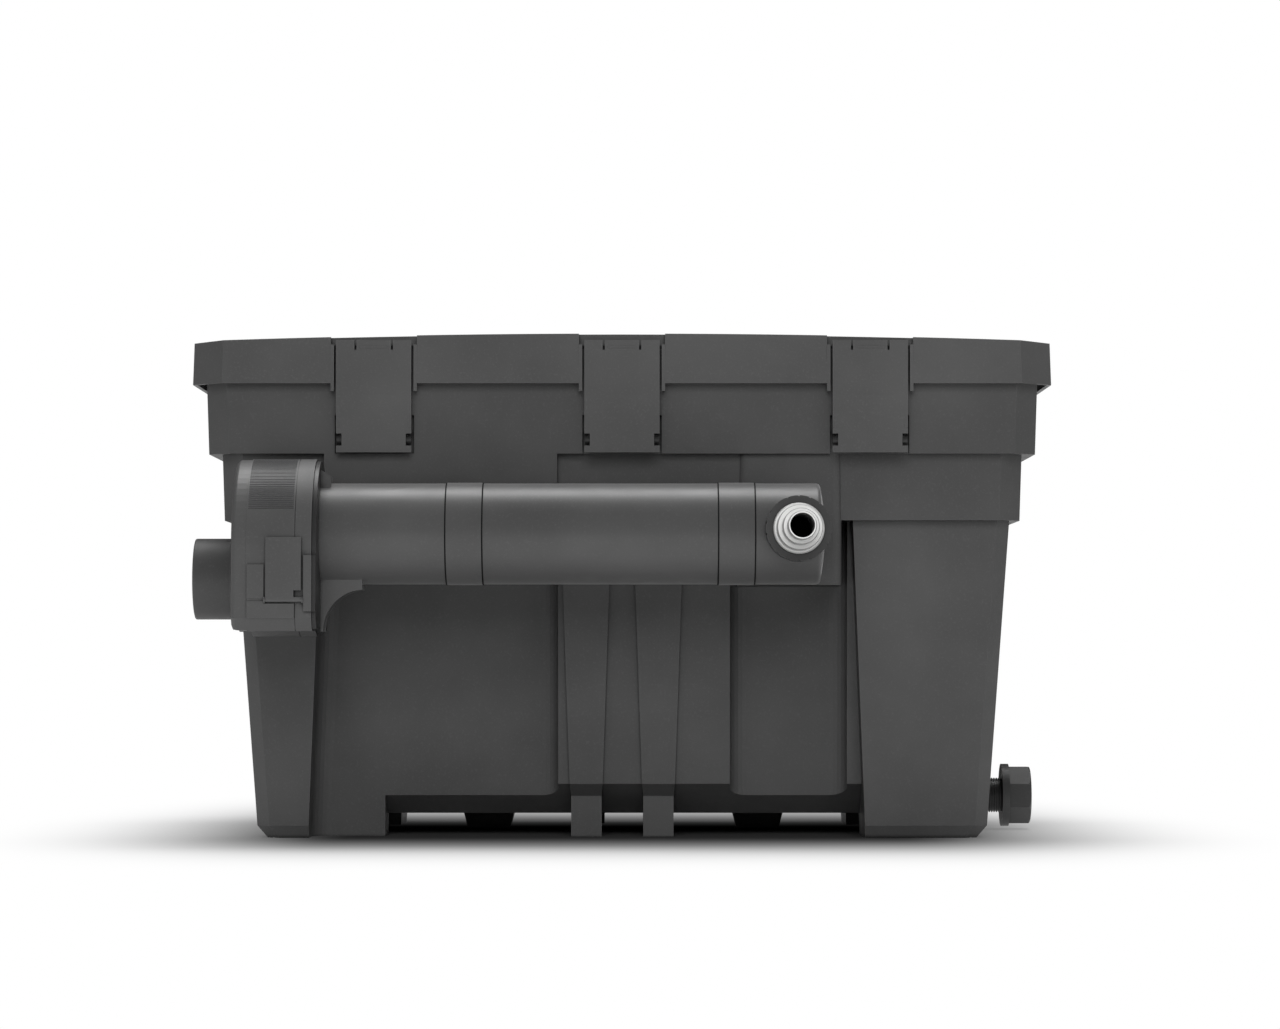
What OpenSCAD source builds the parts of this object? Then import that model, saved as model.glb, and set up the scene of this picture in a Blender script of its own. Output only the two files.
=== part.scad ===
// Pond filter box with a UV clarifier tube across its front.
// Millimetres. X runs to the right, Y to the back, Z up from the ground.

/* [Tank] */
// Width of the tank body at its top
body_w = 708; // [660:1:740]
// Depth of the tank body at its top
body_d = 503; // [480:1:530]
// Height of the body, from the ground to the band above it
body_h = 290; // [270:1:320]
// Draft of the body's outer walls, in degrees
draft_deg = 4; // [2.5:0.1:4.5]
// Wall of the tank
wall = 4; // [3:0.5:5]
// Height of the tank's underside above the ground
under_h = 20; // [16:1:30]
// Chamfer down the upright corners of the body
body_chamfer = 12; // [8:1:20]
// Height of the chamfer round the feet
foot_bevel_h = 11.5; // [6:1:16]
// How far the chamfer round the feet runs in
foot_bevel_in = 9; // [4:1:12]
// Width of the band above the body
band_w = 730; // [724:1:744]
// Depth of the band above the body
band_d = 530; // [524:1:544]
// Height of the band
band_h = 60; // [50:1:70]
// Width of the rim at its top
rim_w = 756.5; // [752:0.5:764]
// Depth of the rim at its top
rim_d = 556.5; // [552:0.5:564]
// Height of the rim below the lid's skirt
rim_h = 63; // [56:1:70]
// Chamfer at the corners of the band and the rim
rim_chamfer = 20; // [14:1:26]
// Draft of the band, the rim and the lid's skirt, in degrees
rim_draft_deg = 1.8; // [1:0.1:2.5]

/* [Tank walls] */
// Depth of the ribbed front wall behind the pillars
rib_wall_in = 35; // [28:1:42]
// Depth of the recessed front panels behind the pillars
panel_in = 60; // [50:1:70]
// Radius in the upright corners of the recessed panels
panel_r = 16; // [8:1:20]
// Place of the left pillar's inner edge at its top
left_pillar_x = 275; // [272:1:284]
// Place of the right pillar's inner edge at its top
right_pillar_x = 210.5; // [208:0.5:216]
// Lean of the pillars' inner edges, in degrees
pillar_lean_deg = 2.4; // [1:0.1:3]
// Left edge of the middle wall
middle_left_x = 59; // [56:1:70]
// Right edge of the middle wall
middle_right_x = 99; // [90:1:104]
// Left edge of the narrow wall beside the right pillar
strip_x = 207; // [203:0.5:208]
// Height of the front wall's lower bend
sill_h = 49; // [42:1:56]
// Depth behind the pillars at which the lower bend meets the underside
sill_in = 100; // [85:1:110]
// Place of the two front ribs either side of the middle
rib_x = 33.3; // [30:0.1:38]
// Width of a rib at its foot
rib_foot_w = 28; // [22:1:32]
// Width of a rib at the lower bend
rib_low_w = 30.3; // [26:0.1:34]
// Width of a rib at its top
rib_top_w = 45; // [40:1:50]
// Height of a rib's top
rib_top_z = 270; // [250:1:280]
// How far a rib stands out of the wall
rib_out = 6; // [3:0.5:8]
// How far the front of a rib's foot lies behind the rib's front
rib_foot_in = 20; // [8:1:28]
// Depth behind the rib's front at which a rib's foot ends
rib_foot_d = 60; // [50:1:70]
// Inner edge of the foot beside the left pillar
inner_foot_x = 220; // [205:1:235]
// Place of the two middle feet either side of the middle
mid_foot_x = 131; // [110:1:150]
// Width of a middle foot at its top
mid_foot_top_w = 52; // [36:1:60]
// Width of a middle foot at the ground
mid_foot_low_w = 41; // [26:1:46]
// Depth of a middle foot
mid_foot_d = 50; // [30:1:70]
// Place of the middle feet behind the tank's middle
mid_foot_y = 60; // [40:1:90]
// Depth of the recesses in the tank's two sides
side_in = 12; // [8:1:16]
// Depth of the corner pillars seen from the side
pillar_d = 133.5; // [129.5:0.5:143.5]
// Depth of the recess in the tank's back
rear_in = 25; // [15:1:30]
// Half the width of the recess in the tank's back
rear_half = 209; // [200:1:240]

/* [Inflow bulge and pod] */
// Height of the bulge's underside
bulge_z = 235; // [225:1:240]
// Left edge of the pod that carries the tube's right end
pod_left_x = 106; // [103:1:110]
// Right edge of the pod
pod_right_x = 199.5; // [196:0.5:202]
// How far the pod's face stands in front of the band
pod_out = 4; // [2:0.5:6]
// Height of the pod's underside
pod_z = 231; // [224:1:233]
// Radius of the pod's upright edges
pod_r = 8; // [4:1:12]

/* [Lid] */
// Width of the lid at its top
lid_w = 779; // [776:1:790]
// Depth of the lid at its top
lid_d = 579; // [576:1:590]
// Height of the lid's skirt
lid_h = 39; // [34:1:44]
// Rise of the lid's crown
crown_h = 6; // [3:0.5:8]
// Chamfer at the corners of the lid
lid_chamfer = 29; // [22:1:34]
// Wall of the lid
lid_wall = 4; // [3:0.5:5]
// Depth of the two panels sunk into the lid's top
lid_panel_sink = 2; // [1:0.5:2.5]
// Width of the plain border round the lid's panels
lid_border = 46; // [38:1:60]
// Width of the bar between the lid's panels
lid_bar = 70; // [50:1:90]
// Radius in the corners of the lid's panels
lid_panel_r = 22; // [12:1:30]
// Depth of the ribs under the lid
lid_rib_h = 10; // [6:1:14]
// Thickness of the ribs under the lid
lid_rib_t = 3; // [2:0.5:4]
// Number of ribs under the lid each way
lid_ribs = 3; // [2:1:5]
// Thickness of the lid's gasket
gasket_t = 3; // [2:0.5:4]
// Width of the lid's gasket
gasket_w = 8; // [6:0.5:10]

/* [Hinges] */
// Place of the two hinges either side of the middle
hinge_x = 215; // [180:1:240]
// Height of the hinge axis below the lid's skirt
hinge_drop = 8; // [7:0.5:10]
// Distance of the hinge axis behind the lid's skirt
hinge_out = 8; // [7.5:0.5:10]
// Radius of the hinge knuckles
knuckle_r = 6.5; // [5.5:0.1:7]
// Radius of the hinge pins
hinge_pin_r = 3; // [2.5:0.1:3.5]
// Width of the lid's knuckle
lid_knuckle_w = 24; // [16:1:30]
// Width of each of the tank's knuckles
tank_knuckle_w = 18; // [12:1:24]

/* [Clips] */
// Distance between neighbouring clips
clip_pitch = 224.5; // [215:0.5:230]
// Width of a clip
clip_w = 68; // [60:1:72]
// Height of a clip
clip_h = 101.5; // [98:0.5:102]
// Thickness of a clip
clip_t = 3; // [2.5:0.1:3.5]
// Height of the straight upper part of a clip
clip_upper_h = 49.5; // [44:0.5:54]
// How far a clip's lower edge leans in
clip_lean = 2.8; // [1:0.1:3]
// Height of a clip's pivot above its lower edge
clip_pivot_h = 11.5; // [10:0.5:12]
// Distance of the pivot behind a clip's face
clip_pivot_in = 8; // [7.5:0.1:8.5]
// Depth of the tank's pocket behind a clip's lower end
pocket_in = 9.5; // [9:0.5:11]
// Radius of a clip's pin
clip_pin_r = 2; // [1.5:0.1:2.5]
// Radius of the barrel round a clip's pin
clip_barrel_r = 4.5; // [4:0.1:4.6]
// Width of the windows at a clip's lower corners
window_w = 5; // [4.5:0.1:6]
// Height of the windows at a clip's lower corners
window_h = 11; // [10.5:0.1:12]
// Distance of the two slots in a clip's top edge from its middle
slot_half = 16.5; // [14:0.5:18]
// Width of the slots in a clip's top edge
slot_w = 2; // [1.5:0.1:3]
// Depth of the slots in a clip's top edge
slot_h = 9; // [7:0.5:11]
// Width of the ridge on the tongue between a clip's slots
ridge_w = 25; // [20:1:27]
// Height of the ridge on a clip's tongue
ridge_h = 1.6; // [1:0.1:2]
// Distance of the ridge below a clip's top edge
ridge_drop = 5.5; // [4:0.5:6]
// How far the ridge stands out of a clip's face
ridge_out = 0.5; // [0.3:0.1:0.8]
// Width of the lid's catch bar behind a clip's tongue
catch_w = 27; // [22:1:30]
// Height of the lid's catch bar
catch_h = 6; // [4:0.5:7]
// Gap between a clip and the lid beside it
clip_gap = 2; // [1.5:0.5:2.5]
// Thickness of the lid's ears beside a clip
ear_t = 3; // [2:0.5:4]
// How far the ears hang below the lid's skirt
ear_drop = 7; // [4:1:10]
// How far a clip's face stands in front of the lid
clip_proud = 1; // [0.5:0.5:2]

/* [UV tube] */
// Distance of the tube's axis in front of the lid's face
tube_out = 52; // [50:1:56]
// Height of the tube's axis
tube_z = 275; // [272:1:278]
// Radius of the tube
tube_r = 45; // [42:0.5:46]
// Wall of the tube
tube_wall = 3.5; // [3:0.5:4.5]
// Left end of the tube, against the lamp head
tube_left_x = -267; // [-270:0.5:-258]
// Left edge of the band ring
ring_x = -155.6; // [-165:0.1:-145]
// Width of the band ring and of the coupling ring
ring_w = 33; // [24:1:40]
// Left edge of the coupling ring
coupling_x = 85.8; // [80:0.1:90]
// How far the rings stand out of the tube
ring_out = 0.6; // [0.4:0.1:1.5]
// Length of the end cap
end_cap_l = 62; // [58:1:66]
// Radius of the end cap's edge
end_cap_r = 4; // [3:0.5:6]
// Rise of the end cap's domed end
end_cap_dome = 4; // [2:0.5:6]
// Length of the end cap's spigot inside the tube
spigot_l = 24; // [18:1:32]
// Depth of the seal grooves in the tube's fittings, and half their width
groove = 2; // [1.5:0.1:2.5]
// Width of the end cap's foot on the pod
cap_foot_w = 34; // [30:1:40]
// Height of the end cap's foot on the pod
cap_foot_h = 52; // [46:1:60]
// Place of the port from the tube into the bulge
port_x = -200; // [-215:1:-185]
// Radius of the port
port_r = 24; // [20:1:26]
// Width of the flange round the port
port_flange_w = 8; // [5:1:9]
// Thickness of a flange on the tube's fittings
flange_t = 4; // [3:0.5:5]
// Thickness of the gasket behind a flange
flange_gasket_t = 2; // [1.5:0.5:3]
// Thickness of the port's locknut
port_nut_t = 9; // [6:1:12]
// How far a threaded pipe reaches behind its locknut
thread_spare = 6; // [4:1:12]

/* [Hose tail] */
// Place of the hose tail's axis
tail_x = 155.6; // [150:0.1:160]
// Height of the hose tail's axis
tail_z = 278; // [274:1:280]
// Radius of the socket's thread
socket_r = 25.2; // [24:0.1:26]
// How far the socket stands out of the tube
socket_out = 9.5; // [9:0.5:14]
// Radius of the union nut
nut_r = 29; // [27.6:0.1:30]
// Length of the union nut
nut_l = 19; // [17:1:22]
// Thickness of the union nut's lip
nut_lip = 4; // [3:0.5:5]
// Thickness of the hose tail's flange
tail_flange_t = 4; // [3:0.5:5]
// Radius of the hose tail's collar
tail_collar_r = 22.4; // [21:0.1:22.5]
// Radii of the hose tail's steps for 40, 32 and 25 mm hose
tail_step_r = [20, 16, 12.5];
// Length of each of the hose tail's steps
tail_step_l = 28; // [24:1:32]
// Length of each barb on the steps
barb_l = 6; // [4:0.5:6]
// Length of the hose tail's plain neck in front of the nut
tail_neck_l = 5; // [3:1:8]
// Radius of the hose tail's bore
tail_bore_r = 10.7; // [9:0.1:11]
// Depth to which a barb slopes down below the step's radius
barb_h = 0.8; // [0.4:0.1:1.2]
// Number of grip notches round the union nut
nut_notches = 18; // [12:1:24]
// Width of a grip notch
notch_w = 1.6; // [1.2:0.1:2]
// Depth of a grip notch
notch_d = 0.8; // [0.5:0.1:1]

/* [Lamp head] */
// Height of the head's centre
head_z = 262.5; // [260:0.5:266]
// Radius of the head
head_r = 79; // [74:0.5:80]
// Length of the head's end cover
cover_l = 13.8; // [10:0.1:18]
// Length of the head's body
head_l = 42.8; // [36:0.1:50]
// Length of the head's collar
head_collar_l = 14.4; // [12:0.1:20]
// Thickness of the bracket behind the collar
bracket_t = 3.5; // [3:0.5:6]
// Wall of the head
head_wall = 3.5; // [2.5:0.5:4.5]
// Height of the flat bottom of the head below its centre
head_drop = 74.5; // [70:0.5:76]
// Bevel along the head's bottom edges
head_bevel = 11; // [8:1:18]
// Start of the ribbed window, in degrees back from the top
window_back_deg = 30; // [20:1:45]
// End of the ribbed window, in degrees forward from the top
window_front_deg = 66; // [55:1:75]
// Number of ribs on the window
window_ribs = 60; // [40:1:70]
// Height of the window's ribs
window_rib_h = 0.5; // [0.3:0.1:0.8]
// Thickness of the ribbed window
window_t = 2.5; // [2:0.1:3]
// Width and depth of the joint lines on the head and the tube
joint_gap = 0.7; // [0.4:0.1:1]
// Thickness of the head's wall against the bracket
end_wall = 4; // [3:0.5:5]
// How far the pad beside the latch stands out
pad_t = 2; // [1:0.5:2.5]
// Height of the pad beside the latch
pad_h = 47; // [40:1:52]
// Width of the latch
latch_w = 31; // [27:1:34]
// Height of the latch
latch_h = 55; // [46:1:58]
// Thickness of the latch
latch_t = 4; // [3:0.5:5]
// Distance of the latch's right edge left of the bracket
latch_right = 9; // [8:0.5:12]
// Height of the latch's pivot below the head's centre
latch_pivot_drop = 47.5; // [46:0.5:49]
// Radius of the latch's pin
latch_pin_r = 1.1; // [0.9:0.1:1.2]
// Thickness of the cheeks either side of the latch
cheek_t = 1.5; // [1:0.1:2.5]
// Width of the notch in the latch's lower corner
latch_hole_w = 6.5; // [5:0.5:10]
// Height of the notch in the latch's lower corner
latch_hole_h = 6; // [4:1:9]
// Thickness of the bracket's flange on the bulge
bracket_flange_t = 4; // [3:0.5:5]
// Length of the bracket's flange beside the bracket
bracket_flange_l = 24; // [20:1:26]
// Height of the bracket's flange
bracket_flange_h = 56; // [50:1:64]
// How far the bracket's round edge lies inside the head's
bracket_in = 2; // [0.5:0.5:4]
// Height of the bracket's catch beside the latch
bracket_catch_h = 49; // [40:1:52]
// Width of the bracket's catch
bracket_catch_w = 7; // [5:0.5:8]
// Length of the gusset under the tube
gusset_l = 38; // [30:0.5:42]
// Thickness of the gussets
gusset_t = 5; // [3:0.5:7]
// Half the distance between the two gussets
gusset_half = 16; // [10:0.5:20]
// Length of the small gusset above the tube
top_gusset_l = 10; // [7:1:20]
// Height of the small gusset above the tube
top_gusset_h = 12; // [8:1:14]
// Length of the head's plug inside the tube
plug_l = 28; // [22:1:36]
// Width of the seal round the head's plug
seal_w = 4; // [3:0.5:5]
// Radius of the quartz sleeve
quartz_r = 23; // [21:0.5:25]
// Wall of the quartz sleeve
quartz_wall = 1.5; // [1:0.1:2]
// Length of the quartz sleeve
quartz_l = 374; // [360:1:380]
// Radius of each of the lamp's two tubes
lamp_tube_r = 8.7; // [8:0.1:9]
// Distance of each lamp tube from the lamp's middle
lamp_half = 10.5; // [10:0.1:11]
// Length of the lamp's tubes
lamp_l = 365; // [340:1:370]
// Width of the lamp's base
lamp_base_w = 40; // [38:1:44]
// Height of the lamp's base
lamp_base_h = 20; // [18:1:22]
// Length of the lamp's base
lamp_base_l = 12; // [10:1:16]
// Thickness of the lamp socket's walls
socket_wall = 3.5; // [2.5:0.5:5]
// Length of the ballast
ballast_l = 34; // [24:1:36]
// Width of the ballast
ballast_w = 90; // [60:1:100]
// Height of the ballast
ballast_h = 36; // [24:1:40]
// Radius of the cable gland
grommet_r = 7; // [5:0.5:8]

/* [Outlet] */
// Place of the outlet in front of the tank's middle
outlet_in = 71.5; // [68:0.5:80]
// Height of the outlet's axis below the band
outlet_drop = 52; // [48:1:60]
// Radius of the outlet pipe
outlet_r = 37.5; // [35:0.5:40]
// Wall of the outlet pipe
outlet_wall = 3; // [2:0.5:4]
// How far the outlet pipe stands out of its flange
outlet_out = 35; // [30:0.5:42]
// Radius of the outlet's flange
outlet_flange_r = 47; // [46:0.5:49]
// Thickness of the outlet's flange
outlet_flange_t = 4; // [3:0.5:6]
// Thickness of the outlet's locknut
outlet_nut_t = 10; // [7:1:12]
// Width of the seat round the outlet's flange
seat_w = 2; // [1:0.5:4]

/* [Drain] */
// Height of the drain
drain_z = 33; // [31:0.5:36]
// Outer radius of the drain's thread
thread_r = 16.6; // [15:0.1:18]
// Depth of the drain's thread
thread_depth = 1.2; // [0.8:0.1:1.6]
// Pitch of the drain's thread
thread_pitch = 2.3; // [2:0.1:3]
// Radius of the drain's bore
drain_bore_r = 12.5; // [10:0.5:13]
// Length of the drain's thread in front of its locknut
thread_l = 61; // [56:1:68]
// Thickness of the drain's locknut
drain_nut_t = 10; // [8:1:12]
// Gap between the drain's locknut and its cap
cap_gap = 39; // [32:1:42]
// Radius of the drain cap's flange
cap_flange_r = 30; // [28:0.5:30]
// Thickness of the drain cap's flange
cap_flange_t = 7; // [4:0.5:9]
// Distance across the flats of the drain cap
cap_flats = 54; // [48:1:56]
// Wall of the drain cap
cap_wall = 5; // [4:0.5:6]
// Radius round the drain cap's end
cap_end_r = 6; // [4:0.5:8]
// Rise of the drain cap's domed end
cap_dome = 1.5; // [1:0.5:3]
// Thickness of the drain cap's seal
cap_seal_t = 2.5; // [2:0.5:3]

/* [Drain fittings] */
// Radius of the drain's inner flange
drain_flange_r = 22; // [20:0.5:23]
// Length of the low corner of the floor at the drain
sump_l = 60; // [45:1:80]

/* [Screws] */
// Radius of the screws
screw_r = 2.5; // [2:0.1:3]
// Radius of the screws' heads
screw_head_r = 4.8; // [4.5:0.1:5.5]
// Height of the screws' heads
screw_head_h = 3; // [2:0.5:4]
// Half the distance between the two screws of a pair
screw_half = 18; // [14:1:20]
// Length of the end cap's screws
screw_l = 18; // [12:1:22]

/* [Inside] */
// Height of the media grid above the tank's floor
grid_h = 32; // [25:1:40]
// Thickness of the media grid and the dividers
plate_t = 4; // [3:0.5:6]
// Place of the front divider in front of the tank's middle
divider_y = 143; // [135:1:148]
// Place of the divider beside the inflow chamber
right_divider_x = 238; // [230:1:245]
// Place of the divider beside the outlet chamber
left_divider_x = -236; // [-240:1:-225]
// Height of the dividers above the media grid
divider_h = 250; // [220:1:260]
// Thickness of each foam block
foam_l = 112; // [100:1:114]
// Height of the foam blocks
foam_h = 235; // [200:1:240]
// Gap between the blocks that stand in a row
foam_gap = 1; // [0.5:0.5:3]
// Height of the slots through the dividers clear of the foam's ends
divider_slot_in = 20; // [10:1:40]
// Height of the media basket
basket_h = 200; // [160:1:230]
// Wall of the media basket
basket_wall = 2; // [1.5:0.5:3]
// Outer radius of a ceramic ring
ceramic_r = 16; // [12:1:18]
// Length of a ceramic ring
ceramic_l = 30; // [20:1:40]

/* [Fits] */
// Gap round a pin that turns
run_fit = 0.05; // [0.02:0.01:0.1]
// Gap between round pieces that slide or turn
free_fit = 0.3; // [0.2:0.05:0.5]

/* [Hidden] */

$fn = 96;
fine = 32;
far = lid_w;
plastic = "#4a4b4d";
dark_plastic = "#3c3d3f";
rubber = "#1b1b1c";

// Heights of the tank's steps
rim_z = body_h + band_h;
skirt_z = rim_z + rim_h;
lid_edge_z = skirt_z + lid_h;
lid_seat_z = lid_edge_z - lid_wall;
rim_top_z = lid_seat_z - gasket_t;
floor_z = under_h + wall;

// Depths of the tank's faces
lid_face_y = lid_d / 2 + lid_h * tan(rim_draft_deg);
rim_face_y = rim_d / 2;
rib_wall_y = body_d / 2 - rib_wall_in;
rim_bottom_y = rim_d / 2 - rim_h * tan(rim_draft_deg);
pod_face_y = band_d / 2 + pod_out;

// Half width and half depth of the body at a height
function half_w(z) = body_w / 2 - (body_h - z) * tan(draft_deg);
function half_d(z) = body_d / 2 - (body_h - z) * tan(draft_deg);

// Inner edges of the front pillars at a height
function left_edge(z) = left_pillar_x + (body_h - z) * tan(pillar_lean_deg);
function right_edge(z) = right_pillar_x + (body_h - z) * tan(pillar_lean_deg);
function rear_edge(z) = rear_half + (body_h - z) * tan(pillar_lean_deg);

// Clips
clip_z = lid_edge_z - clip_h;
clip_face_y = lid_face_y + clip_proud;
clip_pivot_y = clip_face_y - clip_pivot_in;
clip_pivot_z = clip_z + clip_pivot_h;
clip_x = [-clip_pitch, 0, clip_pitch];

// Hinges
hinge_y = lid_face_y + hinge_out;
hinge_z = skirt_z - hinge_drop;

// Tube, head and hose tail
tube_y = -max(lid_face_y + tube_out, half_d(body_h) + head_r + run_fit);
tube_bore_r = tube_r - tube_wall;
end_cap_x = coupling_x + ring_w;
bracket_x = tube_left_x - bracket_t;
collar_x = bracket_x - head_collar_l;
head_x = collar_x - head_l;
cover_x = head_x - cover_l;
latch_x = bracket_x - latch_right;
latch_y = tube_y - head_r - latch_t - free_fit;
latch_pivot_z = head_z - latch_pivot_drop;
socket_y = tube_y - tube_r - socket_out;
tail_flange_y = socket_y - flange_gasket_t;
nut_face_y = tail_flange_y - tail_flange_t - nut_lip - free_fit;
tail_tip_y = nut_face_y - tail_neck_l - len(tail_step_r) * tail_step_l;
notch_half = clip_w / 2 + clip_gap + ear_t;
port_face_y = rim_bottom_y + flange_gasket_t;
port_end_y = -rim_bottom_y + wall + port_nut_t + thread_spare;
port_bore_r = port_r - wall;
spigot_r = tube_bore_r - run_fit;
bracket_screw_x = tube_left_x + bracket_flange_l / 2;
window_a0 = 90 - window_back_deg;
window_a1 = 90 + window_front_deg;
latch_pivot_y = latch_y + latch_t / 2;
plug_end = tube_left_x + plug_l;
grommet_x = head_x + head_l / 2;
socket_x = bracket_x - end_wall;
bulge_left_x = -bracket_x - free_fit;

side_half = body_d / 2 - pillar_d;

// Outlet: the boss makes a flat seat on the drafted wall
outlet_z = body_h - outlet_drop;
outlet_y = body_d / 2 - outlet_in;
outlet_seat_x = -(half_w(outlet_z + outlet_flange_r) + wall / 4);
outlet_inner_x = -(half_w(outlet_z - outlet_flange_r) - 2 * wall - seat_w);
outlet_flange_x = outlet_seat_x - flange_gasket_t - outlet_flange_t;
outlet_end_x = outlet_flange_x - outlet_out;

// Drain: the same on the right-hand wall
drain_seat_x = half_w(drain_z) - side_in + seat_w;
drain_inner_x = half_w(drain_z) - side_in - wall - 2 * seat_w;
thread_end_x = drain_seat_x + thread_l;
cap_x = drain_seat_x + cap_gap;
cap_end_x = thread_end_x + cap_seal_t + cap_wall;

// Media row
media_z = floor_z + grid_h + plate_t;
divider_z = media_z + divider_h;
media_right = right_divider_x - plate_t / 2 - foam_gap;
foam_pitch = foam_l + foam_gap;
basket_x0 = left_divider_x + plate_t / 2 + foam_gap;
basket_x1 = media_right - 3 * foam_pitch;
basket_y0 = -divider_y + plate_t + foam_gap;
basket_y1 = media_back(media_z);
function media_back(z) = half_d(z) - rear_in - wall - 2 * foam_gap;

// Crown of the lid
crown_half = lid_w / 2 - lid_chamfer;
crown_r = (crown_half * crown_half + crown_h * crown_h) / (2 * crown_h);
function crown_z(x) = lid_edge_z + crown_h - crown_r + sqrt(crown_r * crown_r - x * x);

// Origin: the middle of the whole outline, on the ground
centre_x = (cap_end_x + outlet_end_x) / 2;
centre_y = (hinge_y + knuckle_r + tail_tip_y) / 2;

// Counter-clockwise outline of a rectangle with cut corners
function cut_rect(hx, hy, c) = [
    [-hx + c, -hy], [hx - c, -hy], [hx, -hy + c], [hx, hy - c],
    [hx - c, hy], [-hx + c, hy], [-hx, hy - c], [-hx, -hy + c]
];

// Counter-clockwise outline of a plain rectangle
function box_plan(x0, x1, y0, y1) = [[x0, y0], [x1, y0], [x1, y1], [x0, y1]];

// Points on an arc about a centre
function arc(cx, cy, r, a0, a1, n) = [
    for (i = [0:n]) [cx + r * cos(a0 + (a1 - a0) * i / n), cy + r * sin(a0 + (a1 - a0) * i / n)]
];

// Outline of a recess that is open to the front and rounded at the back
function recess_plan(x0, x1, y, r) = concat(
    [[x0, -far], [x1, -far]],
    arc(x1 - r, y - r, r, 0, 90, 6),
    arc(x0 + r, y - r, r, 90, 180, 6)
);

// Outline of a rectangle with round corners
function round_plan(x0, x1, y0, y1, r) = concat(
    arc(x0 + r, y0 + r, r, 180, 270, 6),
    arc(x1 - r, y0 + r, r, 270, 360, 6),
    arc(x1 - r, y1 - r, r, 0, 90, 6),
    arc(x0 + r, y1 - r, r, 90, 180, 6)
);

// Solid through outlines that have the same number of points, one above the other
module stack(plans, heights) {
    n = len(plans[0]);
    top = len(plans) - 1;
    polyhedron(
        points = [for (k = [0:top], p = plans[k]) [p.x, p.y, heights[k]]],
        faces = concat(
            [[for (i = [0:n - 1]) i]],
            [[for (i = [n - 1:-1:0]) top * n + i]],
            [for (k = [0:top - 1], i = [0:n - 1])
                [k * n + i, (k + 1) * n + i, (k + 1) * n + (i + 1) % n, k * n + (i + 1) % n]]
        )
    );
}

module loft(low, high, z0, z1) {
    stack([low, high], [z0, z1]);
}

module rod_x(r, x0, x1, y, z) {
    translate([x0, y, z]) rotate([0, 90, 0]) cylinder(r = r, h = x1 - x0);
}

module rod_y(r, x, y0, y1, z) {
    translate([x, y0, z]) rotate([-90, 0, 0]) cylinder(r = r, h = y1 - y0);
}

module ring_along_x(r, bore, x0, x1, y, z) {
    difference() {
        rod_x(r, x0, x1, y, z);
        rod_x(bore, x0 - 1, x1 + 1, y, z);
    }
}

module ring_along_y(r, bore, x, y0, y1, z) {
    difference() {
        rod_y(r, x, y0, y1, z);
        rod_y(bore, x, y0 - 1, y1 + 1, z);
    }
}

// Outline in Y and Z, extruded along X
module extrude_x(points, x0, x1) {
    translate([x0, 0, 0]) rotate([90, 0, 90]) linear_extrude(x1 - x0) polygon(points);
}

module placed() {
    translate([-centre_x, -centre_y, 0]) children();
}

// ---- Tank ----

// One drafted step of the tank, shrunk by t on every side
module step_block(w, d, c, deg, z_top, z0, z1, t) {
    low = (z_top - z0) * tan(deg);
    high = (z_top - z1) * tan(deg);
    corner = max(c - t * (2 - sqrt(2)), 1);
    loft(
        cut_rect(w / 2 - low - t, d / 2 - low - t, corner),
        cut_rect(w / 2 - high - t, d / 2 - high - t, corner),
        z0, z1
    );
}

module body_block(z0, z1, t) {
    step_block(body_w, body_d, body_chamfer, draft_deg, body_h, z0, z1, t);
}

module band_block(z0, z1, t) {
    step_block(band_w, band_d, rim_chamfer, rim_draft_deg, rim_z, z0, z1, t);
}

module rim_block(z0, z1, t) {
    step_block(rim_w, rim_d, rim_chamfer, rim_draft_deg, skirt_z, z0, z1, t);
}

module tank_block() {
    w = half_w(foot_bevel_h);
    d = half_d(foot_bevel_h);
    loft(cut_rect(w - foot_bevel_in, d - foot_bevel_in, body_chamfer),
        cut_rect(w, d, body_chamfer), 0, foot_bevel_h);
    body_block(foot_bevel_h, body_h, 0);
    band_block(body_h, rim_z, 0);
    rim_block(rim_z, rim_top_z, 0);
}

// A recess in the front wall that follows the draft, grown by g
module wall_recess(edge_low, edge_high, depth, r, z0, z1, g) {
    loft(
        recess_plan(edge_low[0] - g, edge_low[1] + g, -(half_d(z0) - depth) + g, r + g),
        recess_plan(edge_high[0] - g, edge_high[1] + g, -(half_d(z1) - depth) + g, r + g),
        z0, z1
    );
}

module front_recess(g) {
    z0 = -1;
    z1 = body_h + g;
    wall_recess([-left_edge(z0), right_edge(z0)], [-left_edge(z1), right_edge(z1)],
        rib_wall_in, 2, z0, z1, g);
    wall_recess([-left_edge(z0), -middle_left_x], [-left_edge(z1), -middle_left_x],
        panel_in, panel_r, z0, z1, g);
    wall_recess([middle_right_x, strip_x], [middle_right_x, strip_x],
        panel_in, panel_r, z0, z1, g);
}

// The bulge and the pod, shrunk by t on every side
module bulge_and_pod(t) {
    back_y = -body_d / 2 + 2 * panel_in;
    translate([0, 0, bulge_z + t]) linear_extrude(rim_z - bulge_z + 2)
        polygon(box_plan(-bulge_left_x + t, -middle_left_x - t, -rim_bottom_y + t, back_y));
    translate([0, 0, pod_z + t]) linear_extrude(rim_z - pod_z + 2)
        polygon(round_plan(pod_left_x + t, pod_right_x - t, -pod_face_y + t, back_y, pod_r));
}

// Sunk pockets behind the clips' lower ends
module clip_pockets(g) {
    for (x = clip_x)
        translate([x - clip_w / 2 - clip_gap - g, -far, rim_z - g])
            cube([clip_w + 2 * clip_gap + 2 * g, far - rim_face_y + pocket_in + g,
                clip_pivot_z + 2 * clip_pivot_h - rim_z + 2 * g]);
}

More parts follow.
